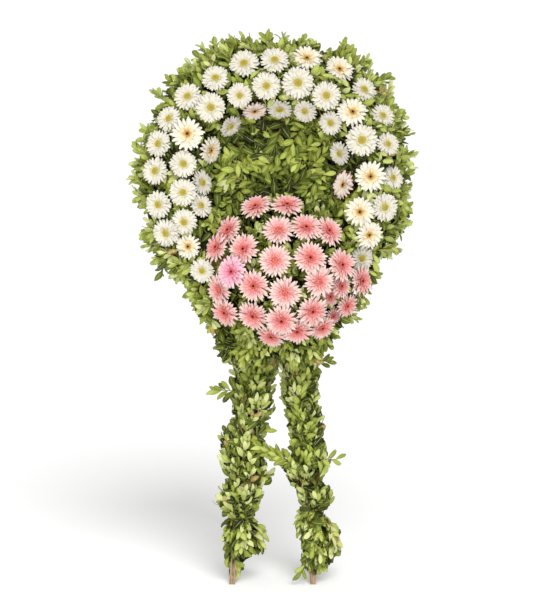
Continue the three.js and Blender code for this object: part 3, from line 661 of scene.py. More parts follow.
@dataclass
class Wreath:
    """The wreath's own frame and main sizes, in millimetres: x right, y back, z up along the battens."""

    lean: float = 10
    batten_depth: float = 40
    foot_spread: float = 270
    top_spread: float = 36
    leg_top: float = 1700
    ring_up: float = 1338
    ring_radius: float = 306
    straw_radius: float = 88
    ring_y: float = -108.4
    sphere_back: float = 59
    mound_x: float = 49
    mound_drop: float = 310

    def __post_init__(self) -> None:
        """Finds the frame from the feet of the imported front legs."""
        left_low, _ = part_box("left_front_leg")
        _, right_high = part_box("right_front_leg")
        turn = math.radians(self.lean)
        middle = (left_low.x + right_high.x) / 2
        front = left_low.y + self.batten_depth * MM / 2 / math.cos(turn)
        self.to_row = Matrix.Translation((middle, front, 0)) @ Matrix.Rotation(-turn, 4, "X") @ Matrix.Scale(MM, 4)
        self.ring_centre = Vector((0, self.ring_y, self.ring_up))
        self.mound_centre = Vector((self.mound_x, self.ring_y + self.sphere_back, self.ring_up - self.mound_drop))

    def rope_middle(self, angle: float) -> Vector:
        """The middle of the straw rope at an angle round the ring."""
        return self.ring_centre + outward(angle) * self.ring_radius

    def rope_normal(self, angle: float, turn: float) -> Vector:
        """The direction off the rope, turned from straight ahead towards outwards."""
        return FRONT * math.cos(math.radians(turn)) + outward(angle) * math.sin(math.radians(turn))

    def leg_point(self, side: int, up: float) -> Vector:
        """The middle of a front leg at a height; side is -1 for the left and 1 for the right."""
        half = between(self.foot_spread / 2, self.top_spread / 2, up / self.leg_top)
        return Vector((side * half, 0, up))

    def piece(
        self, mesh: bpy.types.Mesh, finishes: Sequence[Finish], slot: str, replaces: Sequence[str] = ()
    ) -> None:
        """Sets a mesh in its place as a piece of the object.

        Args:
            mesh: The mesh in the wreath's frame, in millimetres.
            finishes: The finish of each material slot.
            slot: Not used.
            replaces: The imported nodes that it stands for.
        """
        mesh.transform(self.to_row)
        for finish in finishes:
            mesh.materials.append(material_of(finish))
        piece = linked(mesh.name, mesh)
        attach(piece, "root")
        if replaces:
            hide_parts(*replaces)
        LOG.info("%s: %d faces", piece.name, len(mesh.polygons))


def linked(name: str, data: bpy.types.ID) -> bpy.types.Object:
    """Makes an object of some data in the scene."""
    made = bpy.data.objects.new(name, data)
    bpy.context.scene.collection.objects.link(made)
    return made


# ---------------------------------------------------------------- gerberas


class Breed(Enum):
    """The gerberas in the wreath."""

    WHITE = "white"
    CREAM = "cream"
    PINK = "pink"
    BLUSH = "blush"
    LILAC = "lilac"
    TINGED = "tinged"


@dataclass(frozen=True)
class PetalRow:
    """One whorl of petals: how many, where they start and end, how wide, how they stand, and their tint."""

    count: int
    start: float
    reach: float
    width: float
    lift: float
    height: float
    tint: float = 0.5
    jitter: float = 0.05


@dataclass(frozen=True)
class Eye:
    """A gerbera's eye: its radius, its height, the tint at its rim and its florets' finish."""

    radius: float
    height: float
    rim: float
    finish: TintedFinish


@dataclass(frozen=True)
class Gerbera:
    """A gerbera's make-up, for a head of 45 mm radius."""

    rows: tuple[PetalRow, ...]
    petal_widths: tuple[float, ...]
    arch: float
    eye: Eye
    petal: PetalFinish
    nominal: ClassVar[float] = 45.0


ROUND_TIP = (0.34, 0.66, 0.92, 1.0, 0.52)
KEEN_TIP = (0.32, 0.68, 0.96, 0.92, 0.38)
BLUNT_TIP = (0.3, 0.7, 0.98, 0.9, 0.26)
WHITE_WHORLS = (
    PetalRow(20, 8, 45.5, 10.3, 3, 0.0, 0.6, 0.08),
    PetalRow(20, 8, 43.5, 9.9, 7, 1.2, 0.54, 0.11),
    PetalRow(18, 8, 34, 8.0, 10, 2.2, 0.48, 0.14),
    PetalRow(22, 8, 18.5, 3.8, 24, 3.4, 0.05, 0.16),
)
CREAM_WHORLS = (
    PetalRow(18, 7, 45.5, 11.0, 3, 0.0, 0.6, 0.1),
    PetalRow(17, 7, 41.5, 10.6, 8, 1.5, 0.46, 0.14),
    PetalRow(20, 6, 24, 4.8, 17, 3.2, 0.22, 0.2),
)
PINK_WHORLS = (
    PetalRow(14, 7, 45.5, 9.2, 3, 0.0, 0.78, 0.09),
    PetalRow(14, 7, 43, 8.8, 7, 1.2, 0.7, 0.09),
    PetalRow(20, 7, 33, 7.6, 11, 2.4, 0.52, 0.12),
    PetalRow(19, 6, 24, 5.2, 18, 3.6, 0.36, 0.14),
    PetalRow(16, 5, 15, 3.4, 32, 4.6, 0.22, 0.15),
)
BLUSH_WHORLS = tuple(replace(row, tint=row.tint + 0.14) for row in PINK_WHORLS)
LILAC_WHORLS = (
    PetalRow(17, 7, 45, 10.8, 5, 0.0, 0.66),
    PetalRow(17, 7, 41, 10.4, 10, 1.4, 0.56),
    PetalRow(20, 7, 32, 8.0, 14, 2.8, 0.42, 0.1),
    PetalRow(18, 5, 20, 4.8, 24, 4.0, 0.24, 0.14),
)
GERBERAS = {
    Breed.WHITE: Gerbera(WHITE_WHORLS, KEEN_TIP, 0.07, Eye(11.0, 5.0, 1.0, OLIVE_EYE), WHITE_PETAL),
    Breed.CREAM: Gerbera(CREAM_WHORLS, KEEN_TIP, 0.08, Eye(5.4, 3.6, 1.0, DARK_EYE), CREAM_PETAL),
    Breed.TINGED: Gerbera(CREAM_WHORLS, KEEN_TIP, 0.08, Eye(5.4, 3.8, 0.8, DARK_EYE), TINGED_PETAL),
    Breed.PINK: Gerbera(PINK_WHORLS, BLUNT_TIP, 0.075, Eye(6.2, 3.6, 1.0, BLACK_EYE), PINK_PETAL),
    Breed.BLUSH: Gerbera(BLUSH_WHORLS, BLUNT_TIP, 0.06, Eye(5.6, 3.6, 1.0, CORAL_EYE), PINK_PETAL),
    Breed.LILAC: Gerbera(LILAC_WHORLS, ROUND_TIP, 0.09, Eye(5.8, 3.6, 1.0, BLACK_EYE), LILAC_PETAL),
}


@dataclass
class HeadMaker:
    """Builds gerbera heads that face +Z, with their stem's end at the origin."""

    eye_slot: int = 1
    green_slot: int = 2
    variants: int = 5
    face_height: float = 9.0
    florets: int = 46
    # The petals' shapes: the share of the breed's arch, the fold and the twist.
    shapes: Sequence[tuple[float, float, float]] = ((1.0, 0.12, 0.0), (0.7, -0.1, 0.05), (1.3, 0.05, -0.06))

    def __post_init__(self) -> None:
        """Makes the heads of each breed."""
        self.rod = rod_mesh("stem_rod", 7, 0.9, self.green_slot)
        self.floret = self._cone("floret", 4, 0.5, 0.22, 1.0, self.eye_slot)
        self.calyx = self._cone("calyx", 12, 3.2, 11.0, 8.5, self.green_slot)
        self.heads = {breed: [self._head(breed, index) for index in range(self.variants)] for breed in Breed}

    def _cone(self, name: str, sides: int, near: float, far: float, height: float, slot: int) -> bpy.types.Mesh:
        """Makes a blunt cone that stands on the origin, rounded if it has more than four sides."""
        bm = bmesh.new()
        add_cone(bm, sides, near, far, height, Matrix.Translation((0, 0, height / 2)))
        if sides > 4:
            smooth(bm, quads_only=True)
        return tinted(bm, name, slot=slot)

    def _eye_dome(self, eye: Eye) -> bpy.types.Mesh:
        """Makes the dome that the florets stand on.

        Args:
            eye: The eye's sizes.

        Returns:
            The dome, its tint growing towards its rim.
        """
        bm = bmesh.new()
        bmesh.ops.create_uvsphere(bm, u_segments=14, v_segments=8, radius=1.0)
        bmesh.ops.scale(bm, vec=(eye.radius, eye.radius, eye.height), verts=bm.verts[:])
        smooth(bm)
        mesh = tinted(bm, "eye_dome", slot=self.eye_slot)
        places = np.empty(len(mesh.vertices) * 3, np.float32)
        mesh.vertices.foreach_get("co", places)
        reach = np.hypot(places[0::3], places[1::3]) / eye.radius
        mesh.attributes["tint"].data.foreach_set("value", (reach.clip(0, 1) * eye.rim).astype(np.float32))
        return mesh

    def _head(self, breed: Breed, index: int) -> bpy.types.Mesh:
        """Makes one head.

        Args:
            breed: The gerbera's breed.
            index: Which of the breed's variants it is.

        Returns:
            The head.
        """
        gerbera = GERBERAS[breed]
        rng = random.Random(f"{breed.value}{index}")
        blades = [
            Blade("petal", gerbera.petal_widths, gerbera.arch * share, fold, 0.02, twist).mesh()
            for share, fold, twist in self.shapes
        ]
        growth = Growth()
        growth.add(self.calyx, Matrix.Identity(4), 0.3)
        for row_index, row in enumerate(gerbera.rows):
            for i in range(row.count):
                angle = 360 * (i + 0.5 * row_index) / row.count + rng.uniform(-3, 3)
                length = (row.reach - row.start) * (1 + rng.uniform(-row.jitter, row.jitter / 2))
                lift = math.radians(row.lift + rng.uniform(-5, 5))
                radial = Vector((math.cos(math.radians(angle)), math.sin(math.radians(angle)), 0))
                way = radial * math.cos(lift) + UP * math.sin(lift)
                root = radial * row.start + UP * (self.face_height + row.height - 2.5)
                size = Matrix.Diagonal((row.width * rng.uniform(0.9, 1.1), length, length, 1))
                tint = row.tint + rng.uniform(-0.1, 0.1)
                growth.add(rng.choice(blades), aimed(root, way, UP) @ size, tint)
        dome_height = self.face_height + gerbera.rows[-1].height - 3.0
        growth.add(self._eye_dome(gerbera.eye), Matrix.Translation((0, 0, dome_height)))
        self._add_florets(growth, gerbera.eye, dome_height, rng)
        return growth.mesh(f"{breed.value}_head_{index}")

    def _add_florets(self, growth: Growth, eye: Eye, base: float, rng: random.Random) -> None:
        """Sets florets in a spiral over the eye's dome.

        Args:
            growth: The head that takes them.
            eye: The eye's sizes.
            base: How high the dome's middle is.
            rng: The source of the head's chances.
        """
        for i in range(self.florets):
            share = math.sqrt((i + 0.5) / self.florets)
            spot = outward(i * GOLDEN_ANGLE) * share * 0.96
            x, y = spot.x, spot.z
            height = eye.height * math.sqrt(max(1 - x * x - y * y, 0.02))
            at = Vector((x * eye.radius, y * eye.radius, base + height - 0.6))
            normal = Vector((x * 0.5, y * 0.5, 0.8)).normalized()
            size = eye.radius * 0.24
            stand = Matrix.Diagonal((size, size, 1.3 + rng.random(), 1))
            growth.add(self.floret, seated(at, normal, rng.uniform(0, 90)) @ stand, eye.rim * share)


@dataclass(frozen=True)
class Bloom:
    """One gerbera in its place."""

    position: Vector
    facing: Vector
    diameter: float
    breed: Breed


@dataclass(frozen=True)
class Pick:
    """Gerberas wired to one pick, which runs from its fork to its end in the straw."""

    node: str
    blooms: tuple[Bloom, ...]
    fork: Vector
    end: Vector


@dataclass(frozen=True)
class BloomRow:
    """A row of gerberas round the ring: its radius, its picks' turn, how its blooms tilt, their size and the picks."""

    radius: float
    turn: float
    tilt: float
    size: float
    picks: tuple[tuple[tuple[float, float, Breed, float, float], ...], ...]


W, C, T, P, B, L = Breed.WHITE, Breed.CREAM, Breed.TINGED, Breed.PINK, Breed.BLUSH, Breed.LILAC
# Each pick's blooms: the angle round the ring, how much further out than the row, the breed, the level and the
# share of the row's size.
WHITE_ROWS = {
    "outer": BloomRow(378, 30, 0.7, 1.0, (
        ((-42, 12, W, 1, 0.9), (-31, -16, C, 0, 0.9)),
        ((-15, -4, W, 0, 0.96), (0, 12, W, 1, 0.84)),
        ((16, 10, W, 0, 0.84), (29.5, 34, W, 0, 0.86)),
        ((44, 36, W, 0, 0.92), (58.5, 38, C, 0, 0.96)),
        ((74, 24, C, 0, 0.98), (89, 0, W, 0, 0.98)),
        ((104, 0, W, 0, 1.02), (120, -10, W, 0, 0.93)),
        ((136.5, 0, W, 0, 0.95), (150.5, 6, W, 0, 0.9)),
        ((163.5, 6, W, 0, 0.93), (177, 0, W, 0, 0.96)),
        ((193.5, 0, W, 0, 0.94), (207.5, 10, W, 0, 0.96)),
        ((219.5, -26, C, 1, 0.84), (233, 0, W, 0, 0.84)),
    )),
    "middle": BloomRow(306, 0, 1.0, 1.05, (
        ((-22, -4, C, 0, 0.92), (0, 8, C, 0, 0.95)),
        ((22, 4, W, 0, 1.03), (39, 26, C, 1, 0.95)),
        ((56.5, 6, W, 0, 0.94), (75, 6, W, 0, 1.03)),
        ((94, -14, W, 0, 0.9), (112, -24, W, 0, 0.8)),
        ((132, -8, W, 0, 0.95), (153.5, 0, C, 0, 1.0)),
        ((172, -16, W, 0, 0.88), (190, -14, W, 0, 0.88)),
        ((207, 14, W, 1, 0.86),),
    )),
    "inner": BloomRow(228, -30, 1.2, 0.98, (
        ((-6, 2, T, 1, 0.96), (20, 2, W, 1, 0.84)),
        ((43, 28, W, 1, 0.85), (64, 10, W, 1, 0.84)),
        ((84, -4, W, 1, 0.92), (105, -4, T, 1, 0.86)),
        ((129, -12, W, 1, 0.84), (156, -8, C, 1, 0.92)),
        ((184, 0, W, 1, 0.92), (201.5, 20, W, 1, 0.86)),
    )),
}
# Each pick's blooms on the mound: across, up, the level, the share of the full size and the breed.
PINK_PICKS = (
    ((-103, 213, 0, 1, P), (-2, 216, 0, 1, P), (-31, 140, 1, 1, B)),
    ((-190, 137, 0, 1, P), (-219, 79, -1, 0.95, P), (-140, 74, 0, 1, P)),
    ((57, 141, 0, 1, P), (128, 132, 0, 1, P), (70, 45, 0, 1, P)),
    ((-42, 35, 0, 1, B), (-9, -64, 0, 1, B), (-107, -42, 0, 1, P)),
    ((-170, 2, -0.8, 1, L), (-219, -52, 0, 1, B), (-201, -125, 0, 1, P)),
    ((-115, -143, 1, 1, P), (-20, -152, 0, 1, P), (-58, -222, 2, 0.9, P)),
    ((170, 23, 0, 1, P), (247, -26, 1, 1, P)),
    ((98, -30, 0.3, 1, B), (158, -88, 3, 0.7, P)),
    ((76, -122, 0, 1, P), (31, -193, 1, 1, P)),
    ((184, -46, 1.5, 0.75, P), (210, -114, 2, 0.8, P)),
    ((116, -184, 1, 0.85, P), (170, -160, 3, 0.6, P)),
)
DIAMETERS = {W: 99, C: 104, T: 100, P: 110, B: 111, L: 110}


@dataclass
class Flowers:
    """The rows of white gerberas round the ring and the mound of pink ones."""

    wreath: Wreath
    head_back: float = 9
    level_step: float = 14
    white_distance: float = 130
    white_fork: float = 91
    pink_fork: float = 247
    pick_length: float = 45
    mound_radius: float = 294
    most_lean: float = 46
    # How far in front of a bloom, behind it and straight ahead of it no leaf may be.
    clear_front: float = 75
    clear_back: float = 9
    clear_ahead: float = 120
    # The share of a bloom's radius that nothing may hide.
    cover: float = 0.88

    def __post_init__(self) -> None:
        """Places every bloom."""
        self.picks = [*self._white(), *self._pink()]
        blooms = [bloom for pick in self.picks for bloom in pick.blooms]
        self._at = np.array([bloom.position for bloom in blooms])
        self._facing = np.array([bloom.facing for bloom in blooms])
        self._reach = np.array([bloom.diameter / 2 for bloom in blooms])

    def _white_bloom(
        self, row: BloomRow, angle: float, out: float, breed: Breed, level: float, share: float
    ) -> Bloom:
        """Places one bloom on the ring.

        Args:
            row: The bloom's row.
            angle: Its angle round the ring.
            out: How much further out than its row it sits.
            breed: Its breed.
            level: How many levels lower than the row it tucks in.
            share: The share of the row's size.

        Returns:
            The bloom.
        """
        sideways = row.radius + out - self.wreath.ring_radius
        distance = self.white_distance - level * self.level_step
        height = math.sqrt(max(distance**2 - sideways**2, 55**2))
        turn = math.degrees(math.asin(min(max(sideways / distance, -0.7), 0.7)))
        position = self.wreath.rope_middle(angle) + outward(angle) * sideways + FRONT * height
        facing = self.wreath.rope_normal(angle, turn * row.tilt)
        return Bloom(position, facing, DIAMETERS[breed] * row.size * share, breed)

    def _white(self) -> Iterator[Pick]:
        """The picks round the ring."""
        for name, row in WHITE_ROWS.items():
            for number, blooms in enumerate(row.picks, 1):
                placed = [self._white_bloom(row, *bloom) for bloom in blooms]
                middle = sum(bloom[0] for bloom in blooms) / len(blooms)
                normal = self.wreath.rope_normal(middle, row.turn)
                at = self.wreath.rope_middle(middle)
                fork, end = at + normal * self.white_fork, at + normal * (self.white_fork - self.pick_length)
                yield Pick(f"white_gerberas_{name}_{number:02d}", tuple(placed), fork, end)

    def _pink_bloom(self, across: float, up: float, level: float, share: float, breed: Breed) -> Bloom:
        """Places one bloom on the mound.

        Args:
            across: How far right of the mound's middle it sits.
            up: How far above it.
            level: How many levels lower than the rest it tucks in.
            share: The share of the full size.
            breed: Its breed.

        Returns:
            The bloom.
        """
        forward = math.sqrt(self.mound_radius**2 - across**2 - up**2)
        lean = min(math.atan2(math.hypot(across, up), forward), math.radians(self.most_lean))
        facing = Vector((across, 0, up)).normalized() * math.sin(lean) + FRONT * math.cos(lean)
        position = self.wreath.mound_centre + Vector((across, -forward, up)) - facing * level * self.level_step
        return Bloom(position, facing, DIAMETERS[breed] * share, breed)

    def _pink(self) -> Iterator[Pick]:
        """The picks in the mound."""
        for number, blooms in enumerate(PINK_PICKS, 1):
            placed = [self._pink_bloom(*bloom) for bloom in blooms]
            middle = sum((bloom.facing for bloom in placed), Vector()).normalized()
            at = self.wreath.mound_centre
            fork, end = at + middle * self.pink_fork, at + middle * (self.pink_fork - self.pick_length)
            yield Pick(f"pink_gerberas_{number:02d}", tuple(placed), fork, end)

    def clear(self, points: Sequence[Vector]) -> bool:
        """Tells whether points keep off the face of every bloom.

        Args:
            points: The points of a leaf.

        Returns:
            True if no point is in front of a bloom or among its petals.
        """
        away = np.array(points)[:, None, :] - self._at[None]
        height = np.einsum("kbi,bi->kb", away, self._facing)
        side = np.sqrt(np.maximum((away**2).sum(2) - height**2, 0))
        hit = (height > -self.clear_back) & (height < self.clear_front) & (side < self._reach * self.cover)
        ahead = np.hypot(away[..., 0], away[..., 2]) < self._reach * self.cover * 0.85
        hit |= ahead & (away[..., 1] < 0) & (away[..., 1] > -self.clear_ahead)
        return not bool(hit.any())

    def build(self) -> None:
        """Makes one piece for each pick."""
        maker = HeadMaker()
        rng = random.Random(7)
        for pick in self.picks:
            growth = Growth()
            finishes = [STEM]
            for bloom in pick.blooms:
                gerbera = GERBERAS[bloom.breed]
                finishes += [f for f in (gerbera.petal, gerbera.eye.finish) if f not in finishes]
                slots = [finishes.index(gerbera.petal), finishes.index(gerbera.eye.finish), 0]
                nod = scattered(rng, 0.07)
                back = bloom.position - bloom.facing * self.head_back
                size = Matrix.Scale(bloom.diameter / 2 / Gerbera.nominal, 4)
                stand = seated(back, (bloom.facing + nod).normalized(), rng.uniform(0, 360))
                growth.add(rng.choice(maker.heads[bloom.breed]), stand @ size, slots=slots)
                stem = rod_matrix(pick.fork, back + bloom.facing * 2, 2.4)
                growth.add(maker.rod, stem, rng.random(), slots)
            growth.add(maker.rod, rod_matrix(pick.end, pick.fork, 2.8), rng.random(), [0, 0, 0])
            mesh = growth.mesh(pick.node.replace("_gerberas_", "_gerbera_pick_"))
            self.wreath.piece(mesh, finishes, f"{pick.node.split('_')[0]}_petal", [pick.node])


# ---------------------------------------------------------------- greenery


@dataclass(frozen=True)
class Sprig:
    """An evergreen sprig: a thin woody stem with leaves round it that mostly lie in the sprig's own plane."""

    length: float = 92
    leaves: int = 13
    leaf_length: float = 52
    leaf_width: float = 23
    open_angles: tuple[float, float] = (66, 24)
    bare: float = 0.14
    flatness: float = 0.45
    facing: float = 0.68
    sag: float = 0.18
    withered: float = 0.002

    def fitted(self, root: Vector, way: Vector, keeps: Callable[[Vector], bool]) -> float:
        """The longest that the sprig can be with its last leaf inside, or zero if it has no room."""
        for share in (1.0, 0.85, 0.7, 0.55, 0.4):
            if keeps(root + way * (self.length * share + self.leaf_length * 0.66)):
                return self.length * share
        return 0.0


class Gardener:
    """Holds the leaf and twig meshes, and knows where the blooms are."""

    def __init__(self, wreath: Wreath, flowers: Flowers) -> None:
        """Makes the leaf and twig meshes.

        Args:
            wreath: The wreath that it grows on.
            flowers: The blooms to keep clear of.
        """
        self.wreath, self.flowers = wreath, flowers
        spoon = (0.12, 0.42, 0.78, 1.0, 0.94, 0.4)
        oval = (0.12, 0.66, 0.98, 1.0, 0.76, 0.22)
        flatter = ((spoon, 0.09, 0.1, 0.0), (oval, 0.05, 0.07, 0.1))
        shapes = (*flatter, (spoon, -0.06, 0.14, -0.1), (oval, 0.15, 0.05, 0.05))
        self.leaves = [Blade("leaf", widths, arch, fold, 0.018, twist).mesh() for widths, arch, fold, twist in shapes]
        self.twig = rod_mesh("twig", 5, 0.45, 1)


class Bed:
    """One piece of greenery as it grows: its near-black underlay of painted shade, its sprigs and its source of
    chances.
    """

    finishes: ClassVar[tuple[Finish, ...]] = (LEAF, TWIG, PAINTED_SHADE)

    def __init__(self, gardener: Gardener, seed: int) -> None:
        """Starts bare."""
        self.gardener, self.growth, self.rng = gardener, Growth(), random.Random(seed)

    def finish(self, sprigs: str, node: str) -> None:
        """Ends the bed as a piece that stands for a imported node."""
        self.gardener.wreath.piece(self.growth.mesh(sprigs), self.finishes, "leaf", [node])

    def lay_painted_shade(self, bm: bmesh.types.BMesh, amount: float, size: float) -> None:
        """Roughens a solid and lays it under the sprigs, near-black, as painted shade for their depth."""
        roughened(bm, amount, size)
        self.growth.add(tinted(bm, "painted_shade_solid", slot=2), Matrix.Identity(4), 0.4)

    def grow(
        self,
        sprig: Sprig,
        root: Vector,
        direction: Vector,
        front: Vector,
        keeps: Callable[[Vector], bool],
        shade: float,
    ) -> None:
        """Grows one sprig that keeps clear of the blooms.

        Args:
            sprig: Its sizes.
            root: Where it starts.
            direction: Where it grows.
            front: Where its flatter side faces.
            keeps: Tells whether a leaf's point is inside the space that the greenery may fill.
            shade: The tint of its leaves, before each leaf's own difference.
        """
        rng = self.rng
        way = direction.normalized()
        length = sprig.fitted(root, way, keeps)
        side = way.cross(front)
        side = side.normalized() if side.length > 0.05 else way.orthogonal().normalized()
        over = side.cross(way)
        bend = scattered(rng, sprig.sag)
        first = rng.uniform(0, 360)
        count = max(5, round(sprig.leaves * length / sprig.length))
        kept = 0.0
        for i in range(count if length else 0):
            share = between(sprig.bare, 1.0, i / (count - 1))
            at = root + (way + bend * share) * length * share
            turn = math.radians(first + i * GOLDEN_ANGLE)
            around = (side * math.cos(turn) + over * math.sin(turn) * sprig.flatness).normalized()
            opened = math.radians(between(*sprig.open_angles, share) + rng.uniform(-12, 12))
            leaf_way = way * math.cos(opened) + around * math.sin(opened)
            leaf = sprig.leaf_length * between(1.0, 0.72, share) * rng.uniform(0.78, 1.12)
            inside = all(keeps(at + leaf_way * leaf * s) for s in (0.3, 0.72))
            if not inside or not self.gardener.flowers.clear([at + leaf_way * leaf * s for s in (0.2, 0.6, 1.0)]):
                continue
            face = way * math.sin(opened) - around * math.cos(opened)
            face = face.lerp(front, sprig.facing) + scattered(rng, 0.3)
            width = sprig.leaf_width * rng.uniform(0.85, 1.12) * leaf / sprig.leaf_length
            # Leaves lighten towards the sprig's tip: paler young leaves there, and partly painted shade on the inner
            # ones.
            tint = shade + 0.24 * (share - 0.55) + rng.gauss(0, 0.11)
            if rng.random() < sprig.withered or tint >= 1:
                tint = 1.0
            else:
                tint = min(tint, 0.84)
            size = Matrix.Diagonal((width, leaf, leaf, 1))
            self.growth.add(rng.choice(self.gardener.leaves), aimed(at, leaf_way, face) @ size, tint)
            kept = share
        if kept > 0:
            end = root + (way + bend * kept) * length * kept
            self.growth.add(self.gardener.twig, rod_matrix(root, end, 1.9), rng.random())


@dataclass
class Greenery:
    """What every stretch of greenery shares."""

    gardener: Gardener

    @property
    def wreath(self) -> Wreath:
        """The wreath that it grows on."""
        return self.gardener.wreath


@dataclass
class RingGreenery(Greenery):
    """The sprigs over the straw ring, in six sectors."""

    start: float = -50
    end: float = 230
    sectors: int = 6
    # The painted-shade underlay's section: a turn round the rope, and how far it is there from the rope's middle.
    wrap: Points = (
        (-78, 96), (-60, 98), (-40, 98), (-20, 98), (0, 98), (20, 98), (42, 98), (62, 104), (80, 120), (98, 124),
        (114, 110),
    )
    inside: float = 90
    # How much further than elsewhere the outer sprigs reach, by angle round the ring.
    flare: Points = (
        (-50, 42), (-38, 0), (8, 6), (34, 50), (56, 58), (73, 8), (77, 44), (81, 8), (120, 54), (146, 0), (202, 0),
        (220, 28), (230, 6),
    )
    # How far from the rope's middle leaves may be, by turn round the rope.
    reach: Points = ((-90, 122), (0, 134), (40, 142), (70, 164), (94, 176), (112, 168), (130, 140))
    cover_turns: Sequence[float] = (-80, -66, -52, -38, -24, -10, 4, 18, 32, 46, 60)
    collar_turns: Sequence[float] = (62, 74, 86, 98, 110, 122)
    rim_turn: float = 128
    spacing: float = 36
    sprig: Sprig = Sprig()
    collar: Sprig = Sprig(length=88, open_angles=(58, 20), flatness=0.55, facing=0.6)

    def build(self) -> None:
        """Makes one piece for each sector."""
        span = (self.end - self.start) / self.sectors
        for index in range(self.sectors):
            bed = Bed(self.gardener, 100 + index)
            begin = self.start + index * span
            for stage in (self._painted_shade_underlay, self._cover, self._collar, self._rim):
                stage(bed, begin, begin + span)
            bed.finish(f"ring_sprigs_{index + 1}", f"ring_greenery_{index + 1}")

    def _painted_shade_underlay(self, bed: Bed, begin: float, end: float) -> None:
        """Lays the wrap, a near-black underlay of painted shade, under a sector's sprigs, from its begin to its end.

        Args:
            bed: The bed that grows.
            begin: Where the sector starts, in degrees.
            end: Where the sector ends, in degrees.
        """
        bm = bmesh.new()
        turns = [(math.sin(math.radians(turn)), math.cos(math.radians(turn))) for turn, _ in self.wrap]
        outer = [(r * out, r * ahead) for (out, ahead), (_, r) in zip(turns, self.wrap, strict=True)]
        inner = [(self.inside * out, self.inside * ahead) for out, ahead in reversed(turns)]
        middle, first = self.wreath.rope_middle(begin), outward(begin)
        verts = [bm.verts.new(middle + first * x + FRONT * y) for x, y in [*outer, *inner]]
        face = bm.faces.new(verts)
        spin = {"cent": self.wreath.ring_centre, "axis": FRONT, "angle": math.radians(end - begin), "steps": 10}
        bmesh.ops.spin(bm, geom=[face, *face.edges, *verts], **spin)
        bmesh.ops.triangulate(bm, faces=[face for face in bm.faces if len(face.verts) > 4])
        bed.lay_painted_shade(bm, 5, 22)

    def _keeps(self, point: Vector, share: float) -> bool:
        """Tells where leaves may be.

        Args:
            point: A leaf's point.
            share: The share of the greenery's reach that its sprig may fill.

        Returns:
            True if the point is near enough to the rope and off the mound.
        """
        off = point - self.wreath.ring_centre
        sideways = Vector((off.x, 0, off.z)).length - self.wreath.ring_radius
        turn = math.degrees(math.atan2(sideways, -off.y))
        near = math.hypot(sideways, off.y)
        angle = (math.degrees(math.atan2(off.z, off.x)) + 90) % 360 - 90
        flare = along_points(self.flare, angle) * max(math.sin(math.radians(turn)), 0)
        if near < 88 or near > (along_points(self.reach, turn) + flare) * share:
            return False
        if off.z < -300 and abs(off.x) < 250:
            return False
        return (point - self.wreath.mound_centre).length > 246

    def _spots(
        self, turns: Sequence[float], bed: Bed, begin: float, end: float
    ) -> Iterator[tuple[Vector, Vector, float, float]]:
        """Spreads the roots of a sector's sprigs.

        Args:
            turns: The turns round the rope that they stand at.
            bed: The bed that grows.
            begin: Where the sector starts.
            end: Where it ends.

        Yields:
            The rope's middle and its normal at each root, the angle round the ring and the turn round the rope.
        """
        for row in turns:
            radius = self.wreath.ring_radius + 95 * math.sin(math.radians(row))
            count = max(1, round(math.radians(end - begin) * radius / self.spacing))
            for i in range(count):
                angle = between(begin, end, (i + bed.rng.uniform(0.15, 0.85)) / count)
                turn = row + bed.rng.uniform(-7, 7)
                yield self.wreath.rope_middle(angle), self.wreath.rope_normal(angle, turn), angle, turn

    def _cover(self, bed: Bed, begin: float, end: float) -> None:
        """Lays sprigs over the rope's front, nearly flat, from a sector's begin to its end.

        Args:
            bed: The bed that grows.
            begin: Where the sector starts, in degrees.
            end: Where the sector ends, in degrees.
        """
        rng = bed.rng
        for middle, normal, angle, turn in self._spots(self.cover_turns, bed, begin, end):
            onward = self.wreath.rope_normal(angle, turn + 90) * (1 if turn > -20 else -1)
            flow = outward(angle + 90) * rng.uniform(-1, 1) + onward * rng.uniform(-0.35, 1.0)
            # Half the sprigs lie low with darker leaves: painted shade under the upper ones.
            shaded = rng.random() < 0.5
            direction = flow.normalized() + normal * (rng.uniform(0, 0.12) if shaded else rng.uniform(0.25, 0.7))
            root = middle + normal * rng.uniform(93, 101) - flow.normalized() * 30
            shade = (0.2 if shaded else 0.6) + 0.2 * rng.uniform(-1, 1)
            bed.grow(self.sprig, root, direction, normal, partial(self._keeps, share=rng.uniform(0.92, 1.02)), shade)

    def _collar(self, bed: Bed, begin: float, end: float) -> None:
        """Stands sprigs out round the rope's outer side, from a sector's begin to its end.

        Args:
            bed: The bed that grows.
            begin: Where the sector starts, in degrees.
            end: Where the sector ends, in degrees.
        """
        rng = bed.rng
        for middle, normal, angle, turn in self._spots(self.collar_turns, bed, begin, end):
            direction = normal + outward(angle + 90) * rng.uniform(-0.7, 0.7) + FRONT * rng.uniform(-0.1, 0.35)
            root = middle + normal * rng.uniform(82, 112)
            front = FRONT + outward(angle) * rng.uniform(0.0, 0.9)
            # Sprigs turned round towards the back get darker leaves: painted shade.
            shade = 0.5 + 0.3 * rng.uniform(-1, 1) - (0.12 if turn > 100 else 0)
            keeps = partial(self._keeps, share=0.8 + 0.3 * rng.random() ** 2)
            bed.grow(self.collar, root, direction, front, keeps, shade)

    def _rim(self, bed: Bed, begin: float, end: float) -> None:
        """Lays sprigs over the back of the wrap's outer edge, from a sector's begin to its end."""
        for middle, normal, angle, _ in self._spots((self.rim_turn,), bed, begin, end):
            way = outward(angle + bed.rng.uniform(-50, 50)) - FRONT * 0.08
            keeps = partial(self._keeps, share=0.94)
            bed.grow(self.sprig, middle + normal * 97, way, -FRONT, keeps, bed.rng.uniform(0.1, 0.6))


